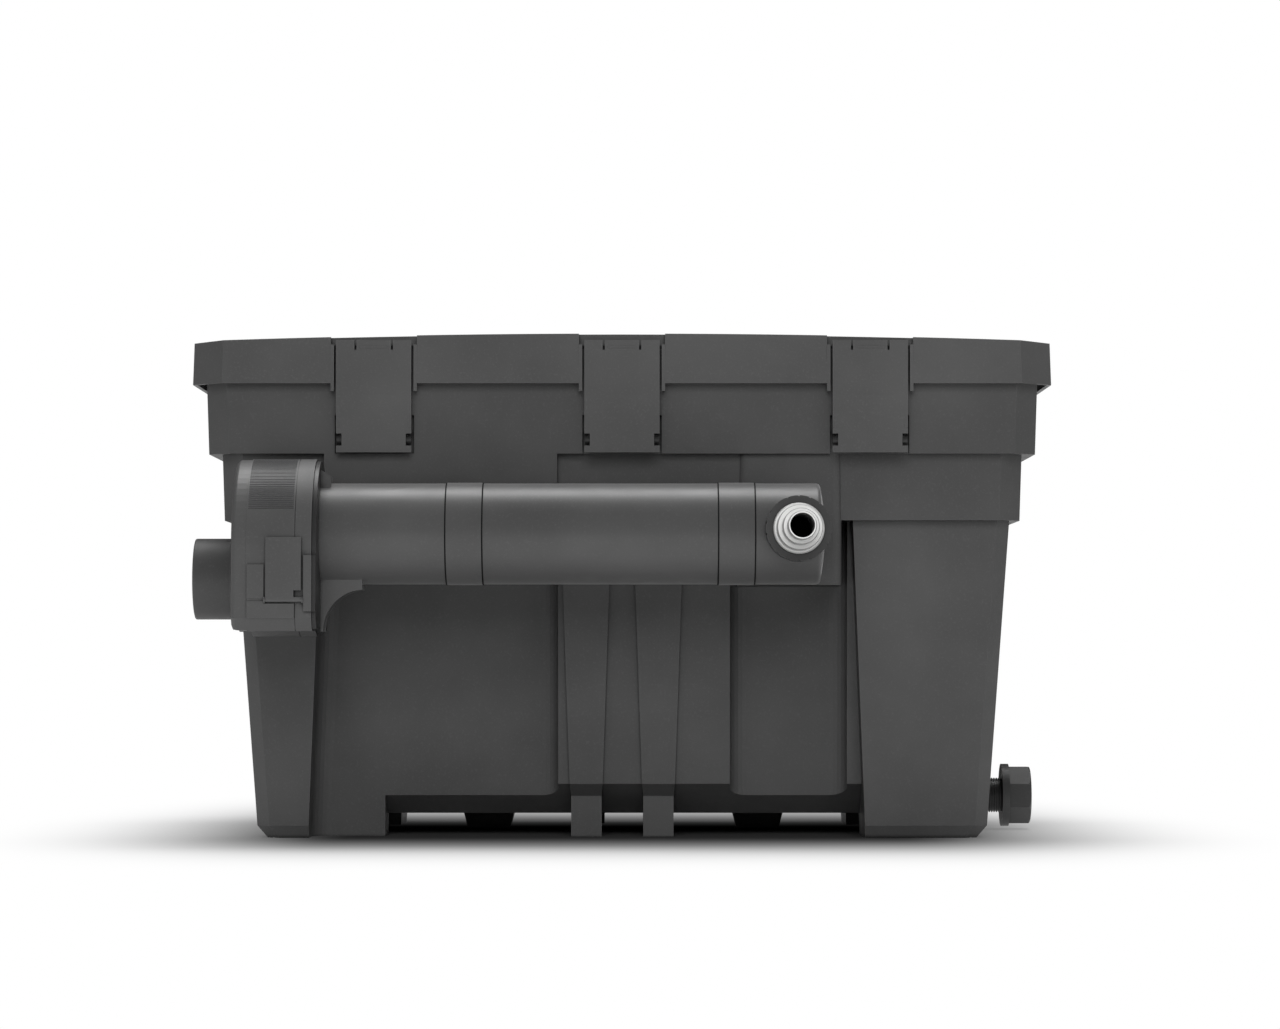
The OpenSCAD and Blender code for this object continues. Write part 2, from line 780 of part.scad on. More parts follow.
module side_recess(g) {
    z0 = -1;
    z1 = body_h + g;
    for (a = [90, -90]) rotate([0, 0, a]) loft(
        recess_plan(-side_half - g, side_half + g, -(half_w(z0) - side_in) + g, panel_r / 2),
        recess_plan(-side_half - g, side_half + g, -(half_w(z1) - side_in) + g, panel_r / 2),
        z0, z1
    );
}

module rear_recess(g) {
    z0 = -1;
    z1 = body_h + g;
    mirror([0, 1, 0]) wall_recess([-rear_edge(z0), rear_edge(z0)],
        [-rear_edge(z1), rear_edge(z1)], rear_in, panel_r, z0, z1, g);
}

// Everything under the tank's sill, raised by g
module under_space(g) {
    y_sill = half_d(sill_h) - rib_wall_in;
    y_under = half_d(under_h) - sill_in;
    extrude_x([
        [-far, -1], [far, -1], [far, sill_h + g], [y_sill, sill_h + g], [y_under, under_h + g],
        [-y_under, under_h + g], [-y_sill, sill_h + g], [-far, sill_h + g]
    ], -far, far);
}

// Where the tank's corners reach the ground
module corner_feet() {
    top = sill_h + 10;
    loft(box_plan(-far, -left_edge(-2), -far, -side_half),
        box_plan(-far, -left_edge(top), -far, -side_half), -2, top);
    loft(box_plan(right_edge(-2), far, -far, -side_half),
        box_plan(right_edge(top), far, -far, -side_half), -2, top);
    for (m = [0, 1]) mirror([m, 0, 0])
        loft(box_plan(rear_edge(-2), far, side_half, far),
            box_plan(rear_edge(top), far, side_half, far), -2, top);
    translate([-left_edge(0) - 5, -far, -2])
        cube([left_edge(0) + 5 - inner_foot_x, far - side_half, top]);
}

// Hollows in the undersides of the corner feet
module foot_pockets() {
    corners = [[1, 1, left_edge(0)], [0, 1, right_edge(0)], [1, 0, rear_edge(0)], [0, 0, rear_edge(0)]];
    for (c = corners) mirror([c[0], 0, 0]) mirror([0, c[1], 0])
        translate([c[2] + wall, side_half + wall, -1])
            cube([half_w(0) - foot_bevel_in - c[2] - 2 * wall,
                half_d(0) - foot_bevel_in - side_half - 2 * wall, under_h - wall]);
}

module front_rib(x) {
    bend_z = sill_h - foot_bevel_h;
    front_low = half_d(sill_h) - rib_wall_in + rib_out;
    front_top = half_d(rib_top_z) - rib_wall_in + rib_out;
    back = 2 * wall;
    translate([x, 0, 0]) {
        foot = box_plan(-rib_foot_w / 2, rib_foot_w / 2, -front_low + rib_foot_in, -front_low + rib_foot_d);
        bend = box_plan(-rib_low_w / 2, rib_low_w / 2, -front_low, -front_low + rib_foot_d);
        loft(foot, foot, 0, bend_z);
        loft(foot, bend, bend_z, sill_h);
        loft(box_plan(-rib_low_w / 2, rib_low_w / 2, -front_low, -front_low + back),
            box_plan(-rib_top_w / 2, rib_top_w / 2, -front_top, -front_top + back), sill_h, rib_top_z);
    }
}

module mid_foot(x) {
    y0 = mid_foot_y - mid_foot_d / 2;
    y1 = mid_foot_y + mid_foot_d / 2;
    translate([x, 0, 0])
        loft(box_plan(-mid_foot_low_w / 2, mid_foot_low_w / 2, y0 + wall, y1 - wall),
            box_plan(-mid_foot_top_w / 2, mid_foot_top_w / 2, y0, y1), 0, under_h + 1);
}

// The drain's low corner of the floor, shrunk by t
module sump(t) {
    z0 = drain_z - drain_flange_r - 1 - wall + t;
    translate([drain_inner_x - sump_l + t, -drain_flange_r - 2 * wall + t, z0])
        cube([sump_l + wall - 2 * t, 2 * drain_flange_r + 4 * wall - 2 * t, floor_z + 1 - z0]);
}

// The tank's inside, kept t away from its outer faces
module cavity(t) {
    difference() {
        union() {
            body_block(under_h + t, body_h + t, t);
            band_block(body_h + t, rim_z + t, t);
            rim_block(rim_z + t, rim_top_z + 1, t);
            bulge_and_pod(t);
        }
        difference() {
            front_recess(t);
            bulge_and_pod(t);
        }
        side_recess(t);
        rear_recess(t);
        clip_pockets(t);
        under_space(t);
    }
}

// A lug that carries a clip's pin
module clip_lug(x) {
    y = -clip_pivot_y;
    z = clip_pivot_z;
    x1 = x + window_w - 2 * free_fit;
    root_y = -rim_face_y + pocket_in + 1;
    extrude_x([
        [y, z], [y + clip_barrel_r, z], [root_y, z + clip_barrel_r],
        [root_y, z + 2 * clip_barrel_r], [y, z + clip_barrel_r]
    ], x, x1);
    rod_x(clip_barrel_r, x, x1, y, z, $fn = fine);
}

module tank_knuckles(x) {
    for (x0 = [x - lid_knuckle_w / 2 - tank_knuckle_w, x + lid_knuckle_w / 2 + free_fit]) {
        x1 = x0 + tank_knuckle_w - free_fit;
        rod_x(knuckle_r, x0, x1, hinge_y, hinge_z, $fn = fine);
        extrude_x([
            [rim_face_y - 2, hinge_z - 3 * knuckle_r], [hinge_y, hinge_z - knuckle_r],
            [hinge_y, hinge_z + knuckle_r - 1], [rim_face_y - 2, hinge_z + knuckle_r - 1]
        ], x0, x1);
    }
}

module tank() {
    color(plastic) placed() difference() {
        union() {
            difference() {
                tank_outside();
                cavity(wall);
                sump(wall);
            }
            // Flat inner seats for the outlet's and the drain's fittings
            rod_x(outlet_flange_r + seat_w, outlet_inner_x - 2 * wall, outlet_inner_x,
                -outlet_y, outlet_z);
            rod_x(drain_flange_r, drain_inner_x, drain_seat_x - 1, 0, drain_z);
            for (x = clip_x) {
                clip_lug(x - clip_w / 2 + free_fit);
                clip_lug(x + clip_w / 2 - window_w + free_fit);
            }
            for (x = [-hinge_x, hinge_x]) tank_knuckles(x);
        }
        rod_x(outlet_r + free_fit, -far, outlet_inner_x + 1, -outlet_y, outlet_z);
        rod_x(thread_r + free_fit, drain_inner_x - 1, far, 0, drain_z);
        rod_y(port_r + free_fit, port_x, -far, -half_d(0) + 5 * wall, tube_z);
        for (x = clip_x)
            rod_x(clip_pin_r + run_fit, x - clip_w, x + clip_w, -clip_pivot_y, clip_pivot_z,
                $fn = fine);
        for (x = [-hinge_x, hinge_x])
            rod_x(hinge_pin_r + run_fit, x - 2 * tank_knuckle_w, x + 2 * tank_knuckle_w,
                hinge_y, hinge_z, $fn = fine);
        for (x = [tail_x, bracket_screw_x], s = [-1, 1])
            rod_y(screw_r + run_fit, x, -far, -half_d(0) + 5 * wall, tube_z + s * screw_half, $fn = fine);
    }
}

// The tank's outer form, before it is hollowed
module tank_outside() {
    difference() {
        union() {
            tank_block();
            bulge_and_pod(0);
        }
        difference() {
            front_recess(0);
            bulge_and_pod(0);
        }
        side_recess(0);
        rear_recess(0);
        clip_pockets(0);
        difference() {
            under_space(0);
            corner_feet();
        }
        foot_pockets();
    }
    for (x = [-rib_x, rib_x]) {
        front_rib(x);
        mirror([0, 1, 0]) translate([0, rear_in - rib_wall_in, 0]) front_rib(x);
    }
    for (x = [-mid_foot_x, mid_foot_x]) mid_foot(x);
    sump(0);
    rod_x(outlet_flange_r + seat_w, outlet_seat_x, outlet_seat_x + 5 * wall, -outlet_y, outlet_z);
    rod_x(drain_flange_r + wall, drain_inner_x + wall, drain_seat_x, 0, drain_z);
}

// ---- Inside the tank ----

module inside_plate(x0, x1, y0, y1, z1) {
    intersection() {
        translate([x0, y0, 0]) cube([x1 - x0, y1 - y0, z1]);
        cavity(wall + free_fit);
    }
}

module front_divider() {
    color(dark_plastic) placed() {
        inside_plate(-bulge_left_x, right_divider_x + plate_t / 2, -divider_y, -divider_y + plate_t,
            divider_z);
        inside_plate(-bulge_left_x, -bulge_left_x + plate_t, -far, -divider_y + 1, divider_z);
    }
}

// Slots through a divider, in a row along Y
module divider_slots(x, z0, z1) {
    for (y = [-divider_y + 5 * plate_t:6 * plate_t:half_d(z0) - 2 * rear_in - 4 * plate_t])
        translate([x - plate_t, y, z0]) cube([2 * plate_t, 3 * plate_t, z1 - z0]);
}

module divider(x, slot_z0, slot_z1) {
    difference() {
        inside_plate(x - plate_t / 2, x + plate_t / 2, -divider_y + plate_t + free_fit, far, divider_z);
        divider_slots(x, slot_z0, slot_z1);
    }
}

module right_divider() {
    color(dark_plastic) placed() divider(right_divider_x, media_z + divider_slot_in,
        media_z + foam_h - divider_slot_in);
}

module left_divider() {
    color(dark_plastic) placed() divider(left_divider_x, media_z + foam_h / 2,
        media_z + foam_h - divider_slot_in);
}

module media_grid() {
    x0 = left_divider_x + plate_t / 2 + free_fit;
    x1 = right_divider_x - plate_t / 2 - free_fit;
    y0 = -divider_y + plate_t + free_fit;
    slot_pitch = 5 * plate_t;
    color(dark_plastic) placed() difference() {
        intersection() {
            union() {
                translate([x0, y0, media_z - plate_t]) cube([x1 - x0, far, plate_t]);
                for (x = [x0 + slot_pitch / 2:4 * slot_pitch:x1],
                    y = [y0 + slot_pitch:4 * slot_pitch:half_d(0)])
                    translate([x - plate_t / 2, y, 0]) cube([plate_t, slot_pitch, media_z - plate_t + 1]);
            }
            cavity(wall + free_fit);
        }
        for (x = [x0 + slot_pitch:slot_pitch:x1 - slot_pitch], y = [y0 + slot_pitch, y0 + 8 * slot_pitch])
            translate([x - plate_t, y, media_z - plate_t - 1])
                cube([2 * plate_t, 6 * slot_pitch, plate_t + 2]);
    }
}

// A foam block whose back follows the tank's wall
module foam(i) {
    x1 = media_right - i * foam_pitch;
    z1 = media_z + foam_h;
    placed() extrude_x([
        [basket_y0, media_z], [media_back(media_z), media_z], [media_back(z1), z1], [basket_y0, z1]
    ], x1 - foam_l, x1);
}

module foam_coarse() {
    color("#2a4a72") foam(0);
}

module foam_medium() {
    color("#1f2225") foam(1);
}

module foam_fine() {
    color("#2f6b45") foam(2);
}

module media_basket() {
    l = basket_x1 - basket_x0;
    d = basket_y1 - basket_y0;
    slot = 4 * plate_t;
    color("#55585a") placed() translate([basket_x0, basket_y0, media_z]) difference() {
        cube([l, d, basket_h]);
        translate([basket_wall, basket_wall, basket_wall])
            cube([l - 2 * basket_wall, d - 2 * basket_wall, basket_h]);
        for (y = [slot:slot:d - slot], z = [slot, slot + basket_h / 2])
            translate([-1, y, z]) cube([l + 2, slot / 2, basket_h / 2 - 2 * slot]);
    }
}

module ceramic_rings() {
    pitch = 2 * ceramic_r + 0.5;
    nx = floor((basket_x1 - basket_x0 - 2 * basket_wall) / pitch);
    ny = floor((basket_y1 - basket_y0 - 2 * basket_wall) / pitch);
    color("#c9c0ad") placed()
        translate([basket_x0 + basket_wall, basket_y0 + basket_wall, media_z + basket_wall])
            for (i = [0:nx - 1], j = [0:ny - 1], k = [0, 1])
                translate([(i + 0.5) * pitch, (j + 0.5) * pitch, k * ceramic_l]) difference() {
                    cylinder(r = ceramic_r, h = ceramic_l, $fn = fine);
                    translate([0, 0, -1]) cylinder(r = ceramic_r / 2, h = ceramic_l + 2, $fn = fine);
                }
}

// ---- Pins and screws ----

module hinge_pins() {
    half = lid_knuckle_w / 2 + tank_knuckle_w;
    color("silver") placed() for (x = [-hinge_x, hinge_x])
        rod_x(hinge_pin_r, x - half, x + half, hinge_y, hinge_z, $fn = fine);
}

module clip_pins() {
    color("silver") placed() for (x = clip_x)
        rod_x(clip_pin_r, x - clip_w / 2 + free_fit, x + clip_w / 2 - free_fit,
            -clip_pivot_y, clip_pivot_z, $fn = fine);
}

// A screw along Y, head at its seat and shank towards the front
module screw(x, z, seat_y, l) {
    rod_y(screw_r, x, seat_y - l, seat_y + 0.1, z, $fn = fine);
    difference() {
        rod_y(screw_head_r, x, seat_y, seat_y + screw_head_h, z, $fn = fine);
        translate([x, seat_y + screw_head_h + 0.5, z]) rotate([90, 0, 0])
            cylinder(r = screw_r, h = screw_head_h / 2 + 0.5, $fn = 6);
    }
}

// ---- Outlet ----

module outlet_pipe() {
    lip = outlet_wall / 2;
    length = outlet_inner_x + outlet_nut_t + thread_spare - outlet_end_x;
    color(plastic) placed() {
        translate([outlet_end_x, -outlet_y, outlet_z]) rotate([0, 90, 0]) rotate_extrude()
            polygon(concat(
                [[outlet_r, length], [outlet_r - outlet_wall, length]],
                arc(outlet_r - lip, lip, lip, 180, 360, 6)
            ));
        ring_along_x(outlet_flange_r, outlet_r - 0.1, outlet_flange_x,
            outlet_flange_x + outlet_flange_t, -outlet_y, outlet_z);
    }
}

module outlet_gasket() {
    color(rubber) placed() ring_along_x(outlet_flange_r, outlet_r + run_fit,
        outlet_flange_x + outlet_flange_t, outlet_seat_x, -outlet_y, outlet_z);
}

// A round locknut with grip ribs
module grip_nut(r, bore, x0, x1, y, z) {
    difference() {
        union() {
            rod_x(r - 1.5, x0, x1, y, z);
            for (a = [0:30:330])
                translate([x0, y, z]) rotate([a, 0, 0]) translate([0, -2, r - 3])
                    cube([x1 - x0, 4, 3]);
        }
        rod_x(bore, x0 - 1, x1 + 1, y, z);
    }
}

module outlet_nut() {
    color(dark_plastic) placed() grip_nut(outlet_flange_r, outlet_r + run_fit,
        outlet_inner_x, outlet_inner_x + outlet_nut_t, -outlet_y, outlet_z);
}

// ---- Drain ----

module drain_spigot() {
    x0 = drain_inner_x - flange_gasket_t - flange_t;
    turns = floor(thread_l / thread_pitch);
    start = thread_end_x - turns * thread_pitch;
    low = thread_r - thread_depth;
    color(dark_plastic) placed() translate([0, 0, drain_z]) rotate([0, 90, 0]) difference() {
        rotate_extrude() polygon(concat(
            [[0, thread_end_x], [0, x0], [drain_flange_r - 1, x0], [drain_flange_r - 1, x0 + flange_t],
                [low, x0 + flange_t], [low, start]],
            [for (i = [0:turns - 1], p = [[0.3, 0], [0.45, 1], [0.85, 1], [1, 0]])
                [low + thread_depth * p[1], start + (i + p[0]) * thread_pitch]]
        ));
        translate([0, 0, x0 - 1]) cylinder(r = drain_bore_r, h = thread_end_x - x0 + 2);
    }
}

module drain_gasket() {
    color(rubber) placed() ring_along_x(drain_flange_r - 1, thread_r + run_fit,
        drain_inner_x - flange_gasket_t, drain_inner_x, 0, drain_z);
}

module drain_nut() {
    color(dark_plastic) placed() difference() {
        translate([drain_seat_x, 0, drain_z]) rotate([0, 90, 0])
            cylinder(r = drain_flange_r + 3, h = drain_nut_t, $fn = 6);
        rod_x(thread_r + run_fit, drain_seat_x - 1, drain_seat_x + drain_nut_t + 1, 0, drain_z);
    }
}

module cap_seal() {
    color(rubber) placed()
        ring_along_x(thread_r, drain_bore_r, thread_end_x, thread_end_x + cap_seal_t, 0, drain_z);
}

module drain_cap() {
    corner_r = cap_flats / 2 / cos(180 / 8);
    cap_l = cap_end_x - cap_x;
    color(dark_plastic) placed() translate([cap_x, 0, drain_z]) rotate([0, 90, 0]) difference() {
        union() {
            cylinder(r = cap_flange_r, h = cap_flange_t);
            intersection() {
                rotate([0, 0, 180 / 8]) cylinder(r = corner_r, h = cap_l, $fn = 8);
                rotate_extrude() polygon(concat(
                    [[0, 0], [corner_r + 1, 0]],
                    arc(corner_r + 1 - cap_end_r, cap_l - cap_dome - cap_end_r, cap_end_r, 0, 90, 6),
                    [[0, cap_l]]
                ));
            }
        }
        translate([0, 0, -1]) cylinder(r = thread_r + free_fit, h = cap_l - cap_wall + 1);
    }
}

// ---- UV tube ----

module uv_tube() {
    color(plastic) placed() difference() {
        union() {
            rod_x(tube_r, tube_left_x, end_cap_x - joint_gap, tube_y, tube_z);
            rod_y(port_r, port_x, tube_y, port_end_y, tube_z);
            rod_y(port_r + port_flange_w, port_x, -port_face_y - flange_t, -port_face_y, tube_z);
        }
        rod_x(tube_bore_r, tube_left_x - 1, end_cap_x + 1, tube_y, tube_z);
        rod_y(port_bore_r, port_x, tube_y, port_end_y + 1, tube_z);
    }
}

module port_gasket() {
    color(rubber) placed()
        ring_along_y(port_r + port_flange_w, port_r + run_fit, port_x, -port_face_y, -rim_bottom_y,
            tube_z);
}

module port_nut() {
    color(dark_plastic) placed() ring_along_y(port_r + port_flange_w, port_r + run_fit, port_x,
        -rim_bottom_y + wall, -rim_bottom_y + wall + port_nut_t, tube_z);
}

module tube_ring(x) {
    ring_along_x(tube_r + ring_out, tube_r + run_fit, x, x + ring_w - joint_gap, tube_y, tube_z);
}

module band_ring() {
    color(plastic) placed() tube_ring(ring_x);
}

module coupling_ring() {
    color(plastic) placed() tube_ring(coupling_x);
}

module end_cap() {
    side_l = end_cap_l - end_cap_dome - end_cap_r;
    end_r = tube_r - end_cap_r;
    steps = 6;
    color(plastic) placed() difference() {
        union() {
            translate([end_cap_x, tube_y, tube_z]) rotate([0, 90, 0]) rotate_extrude()
                polygon(concat(
                    [[0, 0], [tube_r, 0]],
                    arc(end_r, side_l, end_cap_r, 0, 90, steps),
                    [for (i = [1:steps]) let (r = end_r * (1 - i / steps))
                        [r, end_cap_l - end_cap_dome * pow(r / end_r, 2)]]
                ));
            rod_x(spigot_r, end_cap_x - spigot_l, end_cap_x + 1, tube_y, tube_z);
            rod_y(socket_r, tail_x, socket_y, tube_y, tail_z);
            translate([tail_x - cap_foot_w / 2, tube_y, tube_z - cap_foot_h / 2])
                cube([cap_foot_w, -tube_y - pod_face_y, cap_foot_h]);
        }
        rod_x(spigot_r - wall, end_cap_x - spigot_l - 1, end_cap_x + side_l, tube_y, tube_z);
        rod_y(socket_r - wall, tail_x, socket_y - 1, tube_y, tail_z);
        ring_along_x(tube_r, spigot_r - groove, end_cap_x - spigot_l / 2 - groove,
            end_cap_x - spigot_l / 2 + groove, tube_y, tube_z);
        for (s = [-1, 1])
            rod_y(screw_r + run_fit, tail_x, -pod_face_y - screw_l, -pod_face_y + 1,
                tube_z + s * screw_half, $fn = fine);
    }
}

module end_cap_seal() {
    color(rubber) placed() ring_along_x(tube_bore_r, spigot_r - groove,
        end_cap_x - spigot_l / 2 - groove, end_cap_x - spigot_l / 2 + groove, tube_y, tube_z);
}

module end_cap_screws() {
    color("silver") placed() for (s = [-1, 1])
        screw(tail_x, tube_z + s * screw_half, -pod_face_y + wall, screw_l);
}

module bracket_screws() {
    color("silver") placed() for (s = [-1, 1])
        screw(bracket_screw_x, tube_z + s * screw_half, -rim_bottom_y + wall, wall + bracket_flange_t);
}

// ---- Lamp head ----

// The head's square lower half, from back to front
function head_base(inset) = [
    [-head_r + inset, -head_drop + head_bevel],
    [-head_r + head_bevel, -head_drop + inset],
    [head_r - head_bevel, -head_drop + inset],
    [head_r - inset, -head_drop + head_bevel]
];

// Outline of the head seen from the side: round above, square below
function head_plan(inset) = concat(arc(0, 0, head_r - inset, 0, 180, 36), head_base(inset));

// The head's form between two planes; its round part is a true cylinder
module head_form(x0, x1, inset) {
    rod_x(head_r - inset, x0, x1, tube_y, head_z);
    translate([0, tube_y, head_z])
        extrude_x(concat([[head_r - inset, 0], [-head_r + inset, 0]], head_base(inset)), x0, x1);
}

// A sector of a ring about the head's centre, with ribs along X on its outside
module head_sector(r0, r1, a0, a1, x0, x1, ribs, rib_h) {
    step = (a1 - a0) / ribs;
    outer = [for (i = [0:ribs - 1], p = [[0.1, 0], [0.3, 1], [0.7, 1], [0.9, 0]])
        let (a = a0 + (i + p[0]) * step, r = r1 - rib_h * (1 - p[1])) [r * cos(a), r * sin(a)]];
    translate([0, tube_y, head_z])
        extrude_x(concat(outer, arc(0, 0, r0, a1, a0, 24)), x0, x1);
}

module latch_cheek(x0) {
    rod_x(latch_t / 2 + 1, x0, x0 + cheek_t, latch_pivot_y, latch_pivot_z, $fn = fine);
    translate([x0, latch_pivot_y, latch_pivot_z - latch_t / 2 - 1])
        cube([cheek_t, latch_t, latch_t + 2]);
}

module head_housing() {
    color(plastic) placed() difference() {
        union() {
            head_form(head_x, collar_x - joint_gap, 0);
            head_form(collar_x - joint_gap - 0.1, collar_x + 0.1, joint_gap);
            head_form(collar_x, bracket_x - free_fit, 0);
            rod_x(tube_bore_r - free_fit, bracket_x - 1, plug_end, tube_y, tube_z);
            head_pad();
            for (x = [latch_x + free_fit, latch_x - latch_w - free_fit - cheek_t]) latch_cheek(x);
        }
        head_form(head_x - 1, bracket_x - end_wall, head_wall);
        head_sector(head_r - window_t, head_r + 3, window_a0, window_a1, head_x + 1,
            collar_x - 2, window_ribs, 0);
        rod_x(quartz_r + run_fit, bracket_x - end_wall - 1, plug_end + 1, tube_y, tube_z);
        ring_along_x(tube_r, tube_bore_r - groove, plug_end - 3 * seal_w, plug_end - 2 * seal_w,
            tube_y, tube_z);
        rod_x(latch_pin_r + run_fit, latch_x - 2 * latch_w, latch_x + latch_w,
            latch_pivot_y, latch_pivot_z, $fn = fine);
        rod_y(grommet_r, grommet_x, tube_y + head_r / 2, tube_y + head_r + 1, latch_pivot_z, $fn = fine);
    }
}

// Raised pad beside and below the latch
module head_pad() {
    recess_w = latch_w + 2 * cheek_t + 3 * free_fit;
    difference() {
        translate([head_x + joint_gap, tube_y - head_r - pad_t, head_z - head_drop + head_bevel])
            cube([head_l - 2 * joint_gap, pad_t + 1, pad_h]);
        translate([latch_x + cheek_t + 2 * free_fit - recess_w, tube_y - head_r - pad_t - 1,
            latch_pivot_z - latch_t / 2 - 1 - free_fit])
            cube([recess_w, pad_t + 1, latch_h]);
    }
}

module head_cover() {
    rounding = 4;
    lean = 2;
    steps = 5;
    color(plastic) placed() difference() {
        translate([0, tube_y, head_z]) rotate([90, 0, 90]) stack(
            concat(
                [for (i = [0:steps]) let (a = 90 * i / steps)
                    head_plan(joint_gap + lean * (1 - i / steps) + rounding * (1 - sin(a)))],
                [head_plan(joint_gap)]
            ),
            concat([for (i = [0:steps]) cover_x + rounding * (1 - cos(90 * i / steps))], [head_x])
        );
        rod_x(head_r - 4 * head_wall, cover_x + head_wall, head_x + 1, tube_y, head_z);
    }
}

module head_window() {
    edge_deg = 0.1;
    color("#26282a") placed() head_sector(head_r - window_t + run_fit, head_r, window_a0 + edge_deg,
        window_a1 - edge_deg,
        head_x + 1 + run_fit, collar_x - 2 - run_fit, window_ribs, window_rib_h);
}

module cable_grommet() {
    color(rubber) placed() difference() {
        union() {
            rod_y(grommet_r - run_fit, grommet_x, tube_y + head_r - head_wall - 1,
                tube_y + head_r + 1, latch_pivot_z, $fn = fine);
            rod_y(grommet_r + 2, grommet_x, tube_y + head_r, tube_y + head_r + 3,
                latch_pivot_z, $fn = fine);
        }
        rod_y(grommet_r / 2, grommet_x, tube_y, tube_y + head_r + 4, latch_pivot_z, $fn = fine);
    }
}

module head_seal() {
    color(rubber) placed() ring_along_x(tube_bore_r - run_fit, tube_bore_r - groove,
        plug_end - 3 * seal_w, plug_end - 2 * seal_w, tube_y, tube_z);
}

module ballast() {
    color("#22252a") placed()
        translate([head_x + head_wall, tube_y - ballast_w / 2, head_z - head_drop + head_wall])
            cube([ballast_l, ballast_w, ballast_h]);
}

module lamp_socket() {
    w = lamp_base_w + 2 * free_fit;
    h = lamp_base_h + 2 * free_fit;
    depth = lamp_base_l - socket_wall + free_fit;
    color("white") placed() difference() {
        translate([socket_x - depth - socket_wall, tube_y - w / 2 - socket_wall,
            tube_z - h / 2 - socket_wall])
            cube([depth + socket_wall, w + 2 * socket_wall, h + 2 * socket_wall]);
        translate([socket_x - depth, tube_y - w / 2, tube_z - h / 2]) cube([depth + 1, w, h]);
    }
}

module uv_lamp() {
    color("whitesmoke") placed() {
        base_x = socket_x - lamp_base_l + socket_wall;
        bridge = lamp_tube_r / 2;
        translate([base_x, tube_y - lamp_base_w / 2, tube_z - lamp_base_h / 2])
            cube([lamp_base_l, lamp_base_w, lamp_base_h]);
        for (s = [-1, 1])
            rod_x(lamp_tube_r, base_x + lamp_base_l - 1, base_x + lamp_l, tube_y + s * lamp_half, tube_z);
        translate([base_x + lamp_l - 4 * bridge, tube_y - lamp_half, tube_z - bridge])
            cube([2 * bridge, 2 * lamp_half, 2 * bridge]);
    }
}

module quartz_sleeve() {
    x0 = bracket_x + end_wall;
    color("lightcyan", 0.4) placed() difference() {
        rod_x(quartz_r, x0, x0 + quartz_l, tube_y, tube_z);
        rod_x(quartz_r - quartz_wall, x0 - 1, x0 + quartz_l - quartz_wall, tube_y, tube_z);
    }
}

module sleeve_nut() {
    color(dark_plastic) placed() ring_along_x(tube_bore_r - wall, quartz_r + run_fit,
        plug_end, plug_end + port_nut_t, tube_y, tube_z);
}

module latch_pin() {
    color("silver") placed() rod_x(latch_pin_r, latch_x - latch_w - free_fit - cheek_t,
        latch_x + free_fit + cheek_t, latch_pivot_y, latch_pivot_z, $fn = fine);
}

module head_latch() {
    bevel = 2;
    z1 = latch_pivot_z + latch_h;
    color(plastic) placed() difference() {
        union() {
            rod_x(latch_t / 2, latch_x - latch_w, latch_x, latch_pivot_y, latch_pivot_z, $fn = fine);
            extrude_x([
                [latch_y, latch_pivot_z], [latch_y + latch_t, latch_pivot_z],
                [latch_y + latch_t, z1], [latch_y + bevel, z1], [latch_y, z1 - 2 * bevel]
            ], latch_x - latch_w, latch_x);
        }
        rod_x(latch_pin_r + run_fit, latch_x - latch_w - 1, latch_x + 1,
            latch_pivot_y, latch_pivot_z, $fn = fine);
        translate([latch_x - latch_hole_w, latch_y - 1, latch_pivot_z + latch_t / 2 + free_fit])
            cube([latch_hole_w + 1, 2 * latch_t, latch_hole_h]);
    }
}

module head_bracket() {
    catch_y = tube_y - head_r - free_fit;
    catch_x = latch_x + 2 * free_fit + cheek_t;
    catch_z = latch_pivot_z + latch_h - bracket_catch_h - 4 * latch_t;
    gusset_z = head_z - head_drop;
    color(dark_plastic) placed() difference() {
        union() {
            intersection() {
                head_form(bracket_x, tube_left_x, bracket_in);
                translate([bracket_x, -far, 0]) cube([bracket_t, far - rim_bottom_y, far]);
            }
            // Catch in front of the collar's edge, on a thinner arm from the bracket
            translate([catch_x, catch_y - latch_t, catch_z])
                cube([bracket_catch_w, latch_t, bracket_catch_h]);
            translate([catch_x + 1, catch_y - latch_t / 2, catch_z])
                cube([bracket_x + bracket_t - catch_x - 1, latch_t / 2, bracket_catch_h]);
            translate([bracket_x, catch_y - latch_t / 2, catch_z])
                cube([bracket_t, latch_t / 2 + 2 * bracket_in, bracket_catch_h]);
            // Flange screwed to the bulge
            translate([bracket_x + 1, -rim_bottom_y - bracket_flange_t, tube_z - bracket_flange_h / 2])
                cube([bracket_t + bracket_flange_l, bracket_flange_t, bracket_flange_h]);
            // Gussets under and above the tube
            for (s = [-1, 1])
                translate([tube_left_x - 1, tube_y + s * gusset_half + gusset_t / 2, 0])
                    rotate([90, 0, 0]) linear_extrude(gusset_t) {
                    difference() {
                        translate([0, gusset_z]) square([gusset_l, tube_z - gusset_z - tube_r / 2]);
                        translate([gusset_l + 1, gusset_z])
                            scale([gusset_l - gusset_t / 2, tube_z - tube_r - gusset_z - gusset_t])
                                circle(r = 1);
                    }
                    top_z = tube_z + tube_r;
                    polygon([[0, top_z - wall], [top_gusset_l, top_z - wall],
                        [top_gusset_l, top_z + top_gusset_h / 2], [0, top_z + top_gusset_h]]);
                }
        }
        rod_x(tube_r + run_fit, tube_left_x, tube_left_x + 2 * gusset_l, tube_y, tube_z);
        rod_x(tube_bore_r + 1, bracket_x - 1, tube_left_x + 1, tube_y, tube_z);
        for (s = [-1, 1])
            rod_y(screw_r + run_fit, bracket_screw_x, -rim_bottom_y - far / 4, -rim_bottom_y + 1,
                tube_z + s * screw_half, $fn = fine);
    }
}

// ---- Hose tail and union nut ----

